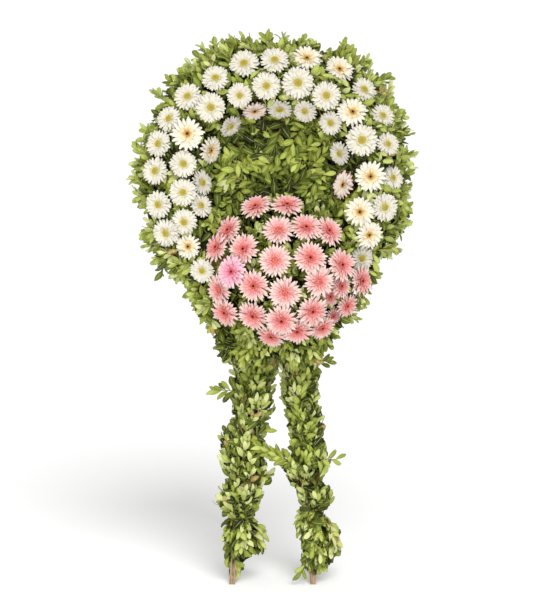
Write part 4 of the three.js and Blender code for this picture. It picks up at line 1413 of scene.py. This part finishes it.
@dataclass
class CentreGreenery(Greenery):
    """The flat sprays over the straw web, inside the ring; each has a root, a flow, a lift and a shade."""

    radius: float = 198
    back: float = 12
    depth: float = 12
    spacing: float = 34
    sprays: int = 34
    sprig: Sprig = Sprig(
        length=120, leaves=11, leaf_length=57, leaf_width=24, open_angles=(54, 20), flatness=0.25, facing=0.84
    )

    def build(self) -> None:
        """Makes the piece."""
        bed = Bed(self.gardener, 300)
        rng = bed.rng
        front = self.wreath.ring_y + self.back
        # The disc behind the sprays is a near-black underlay of painted shade.
        bm = bmesh.new()
        place = aimed(Vector((0, front - self.depth / 2, self.wreath.ring_up)), RIGHT, FRONT)
        add_cone(bm, 40, self.radius, self.radius, self.depth, place)
        bmesh.ops.triangulate(bm, faces=bm.faces[:])
        bed.lay_painted_shade(bm, 2, 20)
        middle = Vector((0, front - self.depth, self.wreath.ring_up))
        for root, flow, lift, shade in [*self._under(rng), *self._hanging(rng), *self._swept(rng)]:
            direction = flow.normalized() + FRONT * rng.uniform(0.04, 0.3)
            bed.grow(self.sprig, middle + root + FRONT * lift, direction, FRONT, self._keeps, shade)
        bed.finish("centre_sprigs", "centre_greenery")

    def _under(self, rng: random.Random) -> Iterator[tuple[Vector, Vector, float, float]]:
        """The sprays next to the straw, whose leaves are painted dark as the shade under the sprays above.

        Args:
            rng: The source of chances.

        Yields:
            Each spray's root, flow, lift and shade.
        """
        for ring in range(int(self.radius // self.spacing) + 1):
            distance = ring * self.spacing
            count = max(1, round(2 * math.pi * distance / self.spacing))
            for i in range(count):
                angle = 360 * i / count + rng.uniform(-10, 10)
                flow = outward(rng.uniform(0, 360))
                yield outward(angle) * distance - flow * 40, flow, 2.0, 0.02 + 0.12 * rng.uniform(-1, 1)

    def _hanging(self, rng: random.Random) -> Iterator[tuple[Vector, Vector, float, float]]:
        """The sprays that hang from the ring's inner edge.

        Args:
            rng: The source of chances.

        Yields:
            Each spray's root, flow, lift and shade.
        """
        for i in range(self.sprays // 2):
            angle = between(-24, 204, (i + 0.5) / (self.sprays // 2)) + rng.uniform(-3, 3)
            inward = outward(angle) * -1
            flow = inward * 0.8 - UP * 0.5 + RIGHT * rng.uniform(-0.4, 0.4)
            yield inward * -rng.uniform(172, 212), flow, rng.uniform(10, 28), 0.34 + 0.26 * rng.uniform(-1, 1)

    def _swept(self, rng: random.Random) -> Iterator[tuple[Vector, Vector, float, float]]:
        """The sprays that sweep across the middle, each patch its own way.

        Args:
            rng: The source of chances.

        Yields:
            Each spray's root, flow, lift and shade.
        """
        for i in range(self.sprays):
            x = between(-150, 190, (i * 0.618) % 1.0)
            z = between(-110, 110, (i + rng.random()) / self.sprays)
            turn = 205 - 1.15 * (x + 40) if x > 60 else 180
            flow = outward(turn + 95 * noise.noise(Vector((x / 80, z / 60, 0.5))))
            pale = 0.54 if -150 < x < 50 and 5 < z < 80 else 0.24
            yield Vector((x, 0, z)) - flow * 50, flow, rng.uniform(8, 28), pale + 0.24 * rng.uniform(-1, 1)

    def _keeps(self, point: Vector) -> bool:
        """Whether a leaf's point is inside the ring, in front of the web and off the mound."""
        off = point - self.wreath.ring_centre
        if math.hypot(off.x, off.z) > 218 or not -66 < off.y < self.back:
            return False
        return (point - self.wreath.mound_centre).length > 246


@dataclass
class MoundGreenery(Greenery):
    """The short sprigs between the pink gerberas, over their padded mound."""

    radius: float = 232
    count: int = 210
    widest: float = 72
    sprig: Sprig = Sprig(length=52, leaves=8, leaf_length=46, leaf_width=20, flatness=0.8, facing=0.5)

    def build(self) -> None:
        """Makes the piece."""
        bed = Bed(self.gardener, 400)
        centre = self.wreath.mound_centre
        # The mound's solid is a near-black underlay of painted shade between the sprigs.
        bm = bmesh.new()
        bmesh.ops.create_uvsphere(bm, u_segments=36, v_segments=20, radius=self.radius)
        bmesh.ops.translate(bm, vec=centre, verts=bm.verts[:])
        plane = {"plane_co": Vector((0, self.wreath.ring_y - 6, 0)), "plane_no": -FRONT, "clear_outer": True}
        cut = bmesh.ops.bisect_plane(bm, geom=[*bm.verts, *bm.edges, *bm.faces], **plane)["geom_cut"]
        bmesh.ops.edgeloop_fill(bm, edges=kind_of(cut, bmesh.types.BMEdge))
        bed.lay_painted_shade(bm, 6, 20)
        for i in range(self.count):
            lean = math.acos(1 - (1 - math.cos(math.radians(self.widest))) * (i + 0.5) / self.count)
            normal = FRONT * math.cos(lean) + outward(i * GOLDEN_ANGLE) * math.sin(lean)
            way = normal + scattered(bed.rng, 1)
            shade = 0.46 + 0.26 * bed.rng.uniform(-1, 1)
            bed.grow(self.sprig, centre + normal * (self.radius - 4), way, normal, self._keeps, shade)
        bed.finish("mound_sprigs", "mound_greenery")

    def _keeps(self, point: Vector) -> bool:
        """Whether a leaf's point is between the mound and the blooms' faces."""
        off = point - self.wreath.mound_centre
        return 222 < off.length < 304 and off.y < -52


@dataclass
class ChinGreenery(Greenery):
    """The hanging sprigs under the mound, narrowing to the tops of the legs."""

    front: float = -52
    back: float = -20.4
    beyond: float = 14
    # Between the legs the sprigs end higher.
    gap_x: float = 4
    gap_width: float = 56
    # The left side from the top down and the right side from the bottom up, against the ring's centre.
    outline: Points = (
        (-312, -322), (-276, -395), (-196, -512), (-164, -588), (152, -588), (200, -520), (284, -395), (316, -322)
    )
    top: float = -322
    bottom: float = -588
    spacing: float = 34
    sprig: Sprig = Sprig(length=84)
    behind: Sprig = Sprig(length=60, leaves=8, flatness=0.04, facing=0.96, sag=0.02)

    def build(self) -> None:
        """Makes the piece."""
        bed = Bed(self.gardener, 500)
        rng = bed.rng
        self._painted_shade_underlay(bed)
        for root in self._behind_spots(rng):
            way = RIGHT * rng.uniform(-0.8, 0.8) - UP * rng.uniform(0.2, 1.0)
            bed.grow(self.behind, root, way, -FRONT, self._keeps_behind, rng.uniform(0.1, 0.6))
        for root, direction, front in [*self._face_spots(rng), *self._edge_spots(rng)]:
            shade = (0.14 if rng.random() < 0.3 else 0.56) + 0.22 * rng.uniform(-1, 1)
            keeps = partial(self._keeps, beyond=rng.uniform(-16, self.beyond))
            bed.grow(self.sprig, root, direction, front, keeps, shade)
        bed.finish("chin_sprigs", "chin_greenery")

    def _painted_shade_underlay(self, bed: Bed) -> None:
        """Lays the block, a near-black underlay of painted shade, under the sprigs.

        Args:
            bed: The bed that grows.
        """
        bm = bmesh.new()
        front = self.wreath.ring_y + self.front + 8
        verts = [bm.verts.new((x * 0.88, front, self.wreath.ring_up + z * 0.965)) for x, z in self.outline]
        swept = bmesh.ops.extrude_face_region(bm, geom=[bm.faces.new(verts)])["geom"]
        bmesh.ops.translate(bm, vec=(0, self.back - front, 0), verts=kind_of(swept, bmesh.types.BMVert))
        bmesh.ops.recalc_face_normals(bm, faces=bm.faces[:])
        edges = [edge for edge in bm.edges if edge.calc_face_angle(0) > 0.4]
        bmesh.ops.bevel(bm, geom=edges, offset=22, segments=2, profile=0.5, affect="EDGES", material=-1)
        bmesh.ops.triangulate(bm, faces=bm.faces[:])
        bmesh.ops.subdivide_edges(bm, edges=bm.edges[:], cuts=3)
        bed.lay_painted_shade(bm, 9, 26)

    def _sides(self, drop: float) -> tuple[float, float]:
        """The outline's left and right sides at a height against the ring's centre."""
        drop = max(min(drop, self.top), self.bottom)
        left, right = (sorted((z, x) for x, z in half) for half in (self.outline[:4], self.outline[4:]))
        return along_points(left, drop), along_points(right, drop)

    def _across(self, drop: float, spacing: float, rng: random.Random) -> Iterator[float]:
        """Spreads roots from side to side.

        Args:
            drop: Their height against the ring's centre.
            spacing: How far apart they are.
            rng: The source of chances.

        Yields:
            How far right each root is.
        """
        left, right = self._sides(drop)
        count = round((right - left) / spacing)
        for i in range(count):
            yield between(left, right, (i + rng.uniform(0.2, 0.8)) / count) * 0.9

    def _face_spots(self, rng: random.Random) -> Iterator[tuple[Vector, Vector, Vector]]:
        """Where sprigs root on the front, where they grow and where they face.

        Args:
            rng: The source of chances.

        Yields:
            Each sprig's root, the way that it grows and the way that it faces.
        """
        drop = -330.0
        while drop > -570:
            for x in self._across(drop, self.spacing, rng):
                place = (x, self.wreath.ring_y + self.front + 10, self.wreath.ring_up + drop + rng.uniform(-10, 10))
                aside = RIGHT * (rng.uniform(-0.7, 0.7) + x / 500)
                yield Vector(place), FRONT * rng.uniform(0.1, 0.5) + aside - UP * rng.uniform(0.1, 1.0), FRONT
            drop -= self.spacing * 0.72

    def _edge_spots(self, rng: random.Random) -> Iterator[tuple[Vector, Vector, Vector]]:
        """Where sprigs root round the sides and the bottom, where they grow and where they face.

        Args:
            rng: The source of chances.

        Yields:
            Each sprig's root, the way that it grows and the way that it faces.
        """
        wreath = self.wreath
        for (x0, z0), (x1, z1) in zip(self.outline, self.outline[1:], strict=False):
            side = Vector((z0 - z1, 0, x1 - x0)).normalized() * -1
            count = max(1, round(math.hypot(x1 - x0, z1 - z0) / self.spacing))
            for depth in (-44, -14, 16, 46, 72):
                for i in range(count):
                    share = (i + rng.uniform(0.1, 0.9)) / count
                    place = (between(x0, x1, share), wreath.ring_y + depth, wreath.ring_up + between(z0, z1, share))
                    way = side * rng.uniform(0.4, 1.0) - UP * rng.uniform(0.1, 1.0) + RIGHT * rng.uniform(-0.3, 0.3)
                    front = FRONT * (1 if depth < 30 else -0.6) + side * rng.uniform(0.1, 0.8)
                    yield Vector(place) - side * 66, way, front

    def _behind_spots(self, rng: random.Random) -> Iterator[Vector]:
        """Where sprigs root on the back."""
        for row in range(8):
            drop = -334 - 31 * row
            for x in self._across(drop, 30, rng):
                yield Vector((x, self.back + 3, self.wreath.ring_up + (drop + rng.uniform(-10, 10))))

    def _keeps_behind(self, point: Vector) -> bool:
        """Whether a leaf's point is on the chin's back, beside the battens."""
        drop = point.z - self.wreath.ring_up
        left, right = self._sides(drop)
        beside = all(abs(point.x - self.wreath.leg_point(side, point.z).x) > 25 for side in (-1, 1))
        return beside and left < point.x < right and -596 < drop < -318 and self.back + 1 < point.y < -2

    def _keeps(self, point: Vector, beyond: float) -> bool:
        """Tells where leaves may be.

        Args:
            point: A leaf's point.
            beyond: How far beyond the outline it may be.

        Returns:
            True if the point is round the chin, and off the ring and the mound.
        """
        off = point - self.wreath.ring_centre
        if (point - self.wreath.mound_centre).length < 250 or point.y > -24 or off.y < -112:
            return False
        left, right = self._sides(off.z)
        bottom = -612 if abs(off.x - self.gap_x) > self.gap_width / 2 else -578
        return left - beyond < off.x < right + beyond and bottom - beyond < off.z < -288


@dataclass(frozen=True)
class Bundle:
    """A bundle bound to a leg, whose sprigs fan upwards (1) or downwards (-1), and how far leaves rise above it."""

    top: float
    bottom: float
    fan: int
    tone: float
    above: float = 26
    open_angles: tuple[float, float] = (50, 20)
    withered: float = 0.002


@dataclass(frozen=True)
class Stray:
    """A sprig that stands off a leg: its height, its angle from +X as seen from the front, length and leaves."""

    up: float
    angle: float
    length: float
    leaves: int


@dataclass
class LegGreenery(Greenery):
    """The bundles of sprigs bound to a front leg, one below the other, and the sprigs that stand off them."""

    name: str
    side: int
    bundles: tuple[Bundle, ...]
    # A height, how far right of the batten the greenery's middle is, and its half width.
    widths: tuple[tuple[float, float, float], ...]
    strays: tuple[Stray, ...]
    spacing: float = 30
    around: int = 8
    core: float = 0.5
    sprig: Sprig = Sprig(length=74, leaves=7, leaf_length=54, leaf_width=22, flatness=0.4, facing=0.8)
    flat_sprig: Sprig = Sprig(length=70, leaves=7, flatness=0.15, facing=0.85)

    def build(self) -> None:
        """Makes one piece for each bundle."""
        for index, bundle in enumerate(self.bundles, 1):
            bed = Bed(self.gardener, 600 + 10 * self.side + index)
            self._painted_shade_underlay(bed, bundle)
            self._sprigs(bed, bundle)
            for stray in self.strays:
                if bundle.bottom <= stray.up < bundle.top:
                    self._stray(bed, stray)
            bed.finish(f"{self.name}_leg_sprigs_{index}", f"{self.name}_leg_greenery_{index}")

    def _middle(self, up: float) -> Vector:
        """The greenery's middle at a height."""
        aside = along_points([(at, aside) for at, aside, _ in self.widths], up)
        return self.wreath.leg_point(self.side, up) + RIGHT * aside

    def _half(self, up: float) -> float:
        """The greenery's half width at a height."""
        return along_points([(at, half) for at, _, half in self.widths], up)

    def _keeps(self, point: Vector, bundle: Bundle, share: float) -> bool:
        """Whether a leaf's point is within a share of the bundle's half width."""
        inside = (point - self._middle(point.z)).length < self._half(point.z) * share
        return inside and bundle.bottom - 12 < point.z < bundle.top + bundle.above and point.z > 14

    def _painted_shade_underlay(self, bed: Bed, bundle: Bundle) -> None:
        """Lays the sleeve, a near-black underlay of painted shade, under one bundle's sprigs.

        Args:
            bed: The bed that grows.
            bundle: The bundle.
        """
        height = bundle.top - bundle.bottom
        levels = [bundle.bottom + height * i / 9 for i in range(10)]
        line = [(0, 0), *[(self._half(up) * self.core, up - bundle.bottom) for up in levels], (0, height)]
        bm = spin_profile(line, Matrix.Identity(4), 18)
        for vert in bm.verts:
            vert.co = self._middle(bundle.bottom + vert.co.y) + RIGHT * vert.co.x + FRONT * vert.co.z
        bmesh.ops.subdivide_edges(bm, edges=bm.edges[:], cuts=1, use_grid_fill=True)
        bed.lay_painted_shade(bm, 5, 18)

    def _sprigs(self, bed: Bed, bundle: Bundle) -> None:
        """Grows a flat layer of leaves painted dark as the shade under the lively sprigs, and lively sprigs over it
        that fan from where the bundle is bound.

        Args:
            bed: The bed that grows.
            bundle: The bundle.
        """
        rng = bed.rng
        rows = max(2, round((bundle.top - bundle.bottom) / self.spacing))
        bound = self._middle(bundle.bottom - 90 if bundle.fan > 0 else bundle.top + 50)
        lively = replace(self.sprig, open_angles=bundle.open_angles, withered=bundle.withered)
        upright = Matrix.Rotation(math.radians(90), 3, "X")
        keeps = partial(self._keeps, bundle=bundle)
        for row in range(rows):
            for i in range(self.around):
                level = min(max((row + rng.uniform(0.1, 0.9)) / rows, 0.03), 0.97)
                up = between(bundle.bottom, bundle.top, level)
                normal = upright @ outward(360 * (i + 0.5 * (row % 2)) / self.around + rng.uniform(-16, 16))
                middle, half = self._middle(up), self._half(up)
                # The flat layer's low tint is painted shade under the lively sprigs.
                along = UP * bundle.fan + UP.cross(normal) * rng.uniform(-0.6, 0.6)
                root = middle + normal * (half * self.core + 2) - along * 30
                bed.grow(self.flat_sprig, root, along, normal, partial(keeps, share=0.96), rng.uniform(0.02, 0.34))
                way = (middle + normal * half * 0.8 - bound).normalized()
                way += UP.cross(normal) * rng.uniform(-0.3, 0.3) + normal * rng.uniform(-0.12, 0.2)
                share = rng.uniform(0.8, 1.08)
                root = middle + normal * half * rng.uniform(0.45, 0.62) - way * 46
                front = normal + UP * 0.3 + FRONT * (0.5 if normal.y < 0.2 else 0)
                shade = bundle.tone + 0.2 * rng.uniform(-1, 1)
                bed.grow(lively, root, way, front, partial(keeps, share=share), shade)

    def _stray(self, bed: Bed, stray: Stray) -> None:
        """Grows one sprig that stands off the leg."""
        sprig = replace(self.sprig, length=stray.length, leaves=stray.leaves, bare=0.3, flatness=0.25, sag=0.05)
        root = self.wreath.leg_point(self.side, stray.up) + FRONT * 24
        way = outward(stray.angle) + FRONT * 0.15
        bed.grow(sprig, root, way, FRONT, lambda point: point.z > 2, bed.rng.uniform(0.2, 0.45))


LEFT_BUNDLES = (
    Bundle(742, 532, 1, 0.64, 60),
    Bundle(530, 338, 1, 0.7),
    Bundle(336, 216, 1, 0.68, 16),
    Bundle(206, 28, -1, 0.64, 8, (32, 12)),
)
RIGHT_BUNDLES = (
    Bundle(742, 588, 1, 0.68, 60),
    Bundle(586, 446, 1, 0.62),
    Bundle(444, 250, 1, 0.6, 26, (36, 16)),
    Bundle(240, 28, -1, 0.68, 8, (32, 12), 0.03),
)
LEFT_WIDTHS = (
    (28, 4, 18), (60, 6, 26), (84, 24, 58), (110, 36, 78), (150, 26, 88), (190, 18, 78), (211, 10, 38), (240, 8, 68),
    (280, 5, 90), (320, 16, 80), (352, 30, 90), (390, 8, 100), (440, -4, 76), (500, -2, 94), (532, 16, 60),
    (590, 26, 84), (660, 20, 80), (742, 18, 99),
)
RIGHT_WIDTHS = (
    (28, 6, 24), (45, 4, 46), (80, 20, 62), (110, 37, 72), (150, 44, 96), (190, 20, 74), (222, 8, 46), (245, 14, 36),
    (272, 32, 68), (300, 38, 84), (340, -8, 48), (380, 0, 98), (420, 14, 82), (500, 13, 60), (540, 12, 70),
    (570, 4, 74), (640, 0, 66), (742, 8, 84),
)
LEFT_STRAYS = (Stray(640, 176, 92, 10), Stray(468, 24, 92, 4))
RIGHT_STRAYS = (
    Stray(718, 14, 100, 9), Stray(384, 154, 158, 18), Stray(366, 146, 112, 10), Stray(412, 2, 100, 6),
    Stray(100, -118, 66, 5),
)


@dataclass
class TwineTie:
    """The turns of green twine that bind a bundle's lower end."""

    wreath: Wreath
    name: str
    side: int
    up: float
    radius: float = 27.5
    thickness: float = 1.3
    turns: int = 5

    def build(self) -> None:
        """Makes the piece: a wound coil of several turns."""
        foot = self.wreath.leg_point(self.side, self.up - 5)
        axis = (self.wreath.leg_point(self.side, self.up + 100) - foot).normalized()
        rise = 2.3 * self.thickness * self.turns
        coil = wound_twine(self.radius, self.thickness, 20 * self.turns, self.turns, rise)
        mesh = tinted(coil, f"{self.name}_leg_twine")
        mesh.transform(aimed(foot, axis, FRONT))
        self.wreath.piece(mesh, [TWINE], "twine", [f"{self.name}_leg_tie"])


# ---------------------------------------------------------------- straw, easel and studio


@dataclass
class StrawRing:
    """The straw ring and its web, bound with twine."""

    wreath: Wreath
    web_front: float = -12
    web_back: float = -38
    web_reach: float = 110
    bends: int = 22
    strands: int = 2600
    wraps: int = 30

    def build(self) -> None:
        """Makes the straw and its binding."""
        growth = Growth()
        growth.add(self._body(), Matrix.Identity(4))
        self._strew(growth)
        self.wreath.piece(growth.mesh("straw_ring"), [STRAW], "straw", ["straw_base"])
        self._bind()

    def _body(self) -> bpy.types.Mesh:
        """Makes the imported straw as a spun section.

        Returns:
            The mesh.
        """
        radius = self.wreath.straw_radius - 2.5
        first = math.pi - math.asin(self.web_back / radius)
        last = 3 * math.pi - math.asin(self.web_front / radius)
        line = [(0, self.web_back), (self.web_reach, self.web_back)]
        for i in range(self.bends + 1):
            turn = between(first, last, i / self.bends)
            line.append((self.wreath.ring_radius + radius * math.cos(turn), radius * math.sin(turn)))
        line += [(self.web_reach, self.web_front), (0, self.web_front)]
        bm = spin_profile(line, aimed(self.wreath.ring_centre, FRONT, RIGHT), 90)
        roughened(bm, 3, 26)
        return tinted(bm, "straw_body", 0.3)

    def _strew(self, growth: Growth) -> None:
        """Lays loose straws along the rope's back and sides, and over the web's back.

        Args:
            growth: What takes the straws.
        """
        rng = random.Random(800)
        straw = rod_mesh("straw", 3, 0.7, 0)
        for i in range(self.strands):
            angle = rng.uniform(0, 360)
            lie = outward(angle + 90) + outward(angle) * rng.gauss(0, 0.12)
            if i % 5 == 0:
                spot = self.wreath.ring_centre + outward(angle) * (215 * math.sqrt(rng.random()))
                spot += FRONT * (self.web_back + rng.uniform(-1, 1.5))
                lie = outward(rng.gauss(90, 34))
            else:
                normal = self.wreath.rope_normal(angle, rng.uniform(60, 300))
                spot = self.wreath.rope_middle(angle) + normal * (self.wreath.straw_radius - rng.uniform(0.6, 3.4))
                lie += normal * rng.gauss(0, 0.03)
            length = rng.uniform(35, 80)
            start = spot - lie.normalized() * length / 2
            place = rod_matrix(start, start + lie.normalized() * length, rng.uniform(0.8, 1.4))
            growth.add(straw, place, rng.random())

    def _bind(self) -> None:
        """Winds twine round the rope."""
        growth = Growth()
        loop = tinted(wound_twine(self.wreath.straw_radius + 0.4, 1.1, 48), "twine_loop")
        rng = random.Random(810)
        for i in range(self.wraps):
            angle = 360 * (i + rng.uniform(-0.2, 0.2)) / self.wraps
            slant = outward(angle + 90) + outward(angle) * rng.uniform(0.02, 0.12)
            growth.add(loop, aimed(self.wreath.rope_middle(angle), slant, FRONT), rng.random())
        self.wreath.piece(growth.mesh("straw_binding"), [TWINE], "twine")


@dataclass
class Easel:
    """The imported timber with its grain, and the wire nails at each crossing of a rail and a leg."""

    wreath: Wreath
    nodes: dict[str, bpy.types.Object]
    # The finish's name, the axis that the grain runs along and the timber that has it.
    timber: Sequence[tuple[str, int, tuple[str, ...]]] = (
        ("sawn_spruce_upright", 2, ("left_front_leg", "right_front_leg", "rear_leg")),
        ("sawn_spruce_level", 0, ("upper_rail", "lower_rail")),
        ("sawn_spruce_deep", 1, ("rear_stay",)),
    )
    rails: Sequence[float] = (1030, 1600)
    nail_radius: float = 3.4
    nail_face: float = 40.8

    def build(self) -> None:
        """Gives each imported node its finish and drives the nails."""
        for name, axis, nodes in self.timber:
            for node in nodes:
                self._dress(node, BattenFinish(name, axis))
        self._dress("apex_screw", SteelFinish())
        bm = bmesh.new()
        for up in self.rails:
            for side in (-1, 1):
                at = self.wreath.leg_point(side, up)
                for offset in (-9, 9):
                    place = aimed(Vector((at.x + offset * 0.3, self.nail_face, up + offset)), RIGHT, -FRONT)
                    add_cone(bm, 12, self.nail_radius, self.nail_radius * 0.7, 1.2, place)
                    add_cone(bm, 8, 1.4, 1.4, 14, place @ Matrix.Translation((0, 0, -7)))
        smooth(bm, quads_only=True)
        self.wreath.piece(tinted(bm, "rail_nails"), [SteelFinish("wire_nail")], "steel")

    def _dress(self, name: str, finish: Finish) -> None:
        """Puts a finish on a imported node."""
        mesh = self.nodes[name].data
        mesh.materials.clear()
        mesh.materials.append(material_of(finish))
        LOG.info("%s: %s", name, finish.name)


@dataclass
class Studio:
    """The pale floor, the soft lights and the camera."""

    camera_place: Sequence[float] = (0.007, -5.5, 1.805)
    aim: Sequence[float] = (0.007, -0.15, 0.931)
    lens: float = 97.2
    floor_size: float = 60.0
    sky: float = 0.54
    backdrop: float = 1.05
    sun: float = 1.85
    sun_spread: float = 34.0
    sun_from: Sequence[float] = (0.38, -1.0, 1.35)
    fill_power: float = 100.0
    fill_size: float = 2.5
    fill_place: Sequence[float] = (-1.7, -4.3, 0.6)
    fill_aim: Sequence[float] = (0, 0, 1.1)

    def build(self) -> None:
        """Makes the floor, the lights and the camera."""
        bm = bmesh.new()
        bmesh.ops.create_grid(bm, x_segments=1, y_segments=1, size=self.floor_size / 2)
        floor = linked("studio_floor", ended(bm, "studio_floor"))
        floor.data.materials.append(material_of(StudioFinish()))
        self._sky()
        sun = bpy.data.lights.new("key_light", "SUN")
        sun.energy, sun.angle = self.sun, math.radians(self.sun_spread)
        linked("key_light", sun).rotation_euler = Vector(self.sun_from).to_track_quat("Z", "Y").to_euler()
        fill = bpy.data.lights.new("fill_light", "AREA")
        fill.energy, fill.size = self.fill_power, self.fill_size
        self._turned(linked("fill_light", fill), self.fill_place, self.fill_aim)
        camera = linked("camera", bpy.data.cameras.new("camera"))
        camera.data.lens = self.lens
        self._turned(camera, self.camera_place, self.aim)
        bpy.context.scene.camera = camera
        bpy.context.scene.view_settings.view_transform = "Standard"

    def _sky(self) -> None:
        """Makes a white sky that lights from all round and is brighter behind the wreath."""
        world = bpy.data.worlds.new("studio_sky")
        world.use_nodes = True
        tree = world.node_tree
        tree.nodes.clear()
        seen = add_node(tree, "LightPath").outputs["Is Camera Ray"]
        strength = add_node(tree, "MapRange", {"To Min": self.sky, "To Max": self.backdrop}, {"Value": seen})
        sky = add_node(tree, "Background", {"Color": linear("#ffffff")}, {"Strength": strength})
        add_node(tree, "OutputWorld", links={"Surface": sky})
        bpy.context.scene.world = world

    def _turned(self, thing: bpy.types.Object, place: Sequence[float], aim: Sequence[float]) -> None:
        """Puts a lamp or the camera in its place, turned towards what it aims at."""
        thing.location = place
        thing.rotation_euler = (Vector(place) - Vector(aim)).to_track_quat("Z", "Y").to_euler()


def main() -> None:
    """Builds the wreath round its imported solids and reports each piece."""
    logging.basicConfig(level=logging.INFO, format="%(name)s %(message)s")
    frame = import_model()
    wreath = Wreath()
    Studio().build()
    Easel(wreath, frame["nodes"]).build()
    flowers = Flowers(wreath)
    gardener = Gardener(wreath, flowers)
    StrawRing(wreath).build()
    for greenery in (RingGreenery, CentreGreenery, MoundGreenery, ChinGreenery):
        greenery(gardener).build()
    LegGreenery(gardener, "left", -1, LEFT_BUNDLES, LEFT_WIDTHS, LEFT_STRAYS).build()
    LegGreenery(gardener, "right", 1, RIGHT_BUNDLES, RIGHT_WIDTHS, RIGHT_STRAYS).build()
    TwineTie(wreath, "left", -1, 211).build()
    TwineTie(wreath, "right", 1, 245).build()
    flowers.build()


if __name__ == "__main__":
    main()
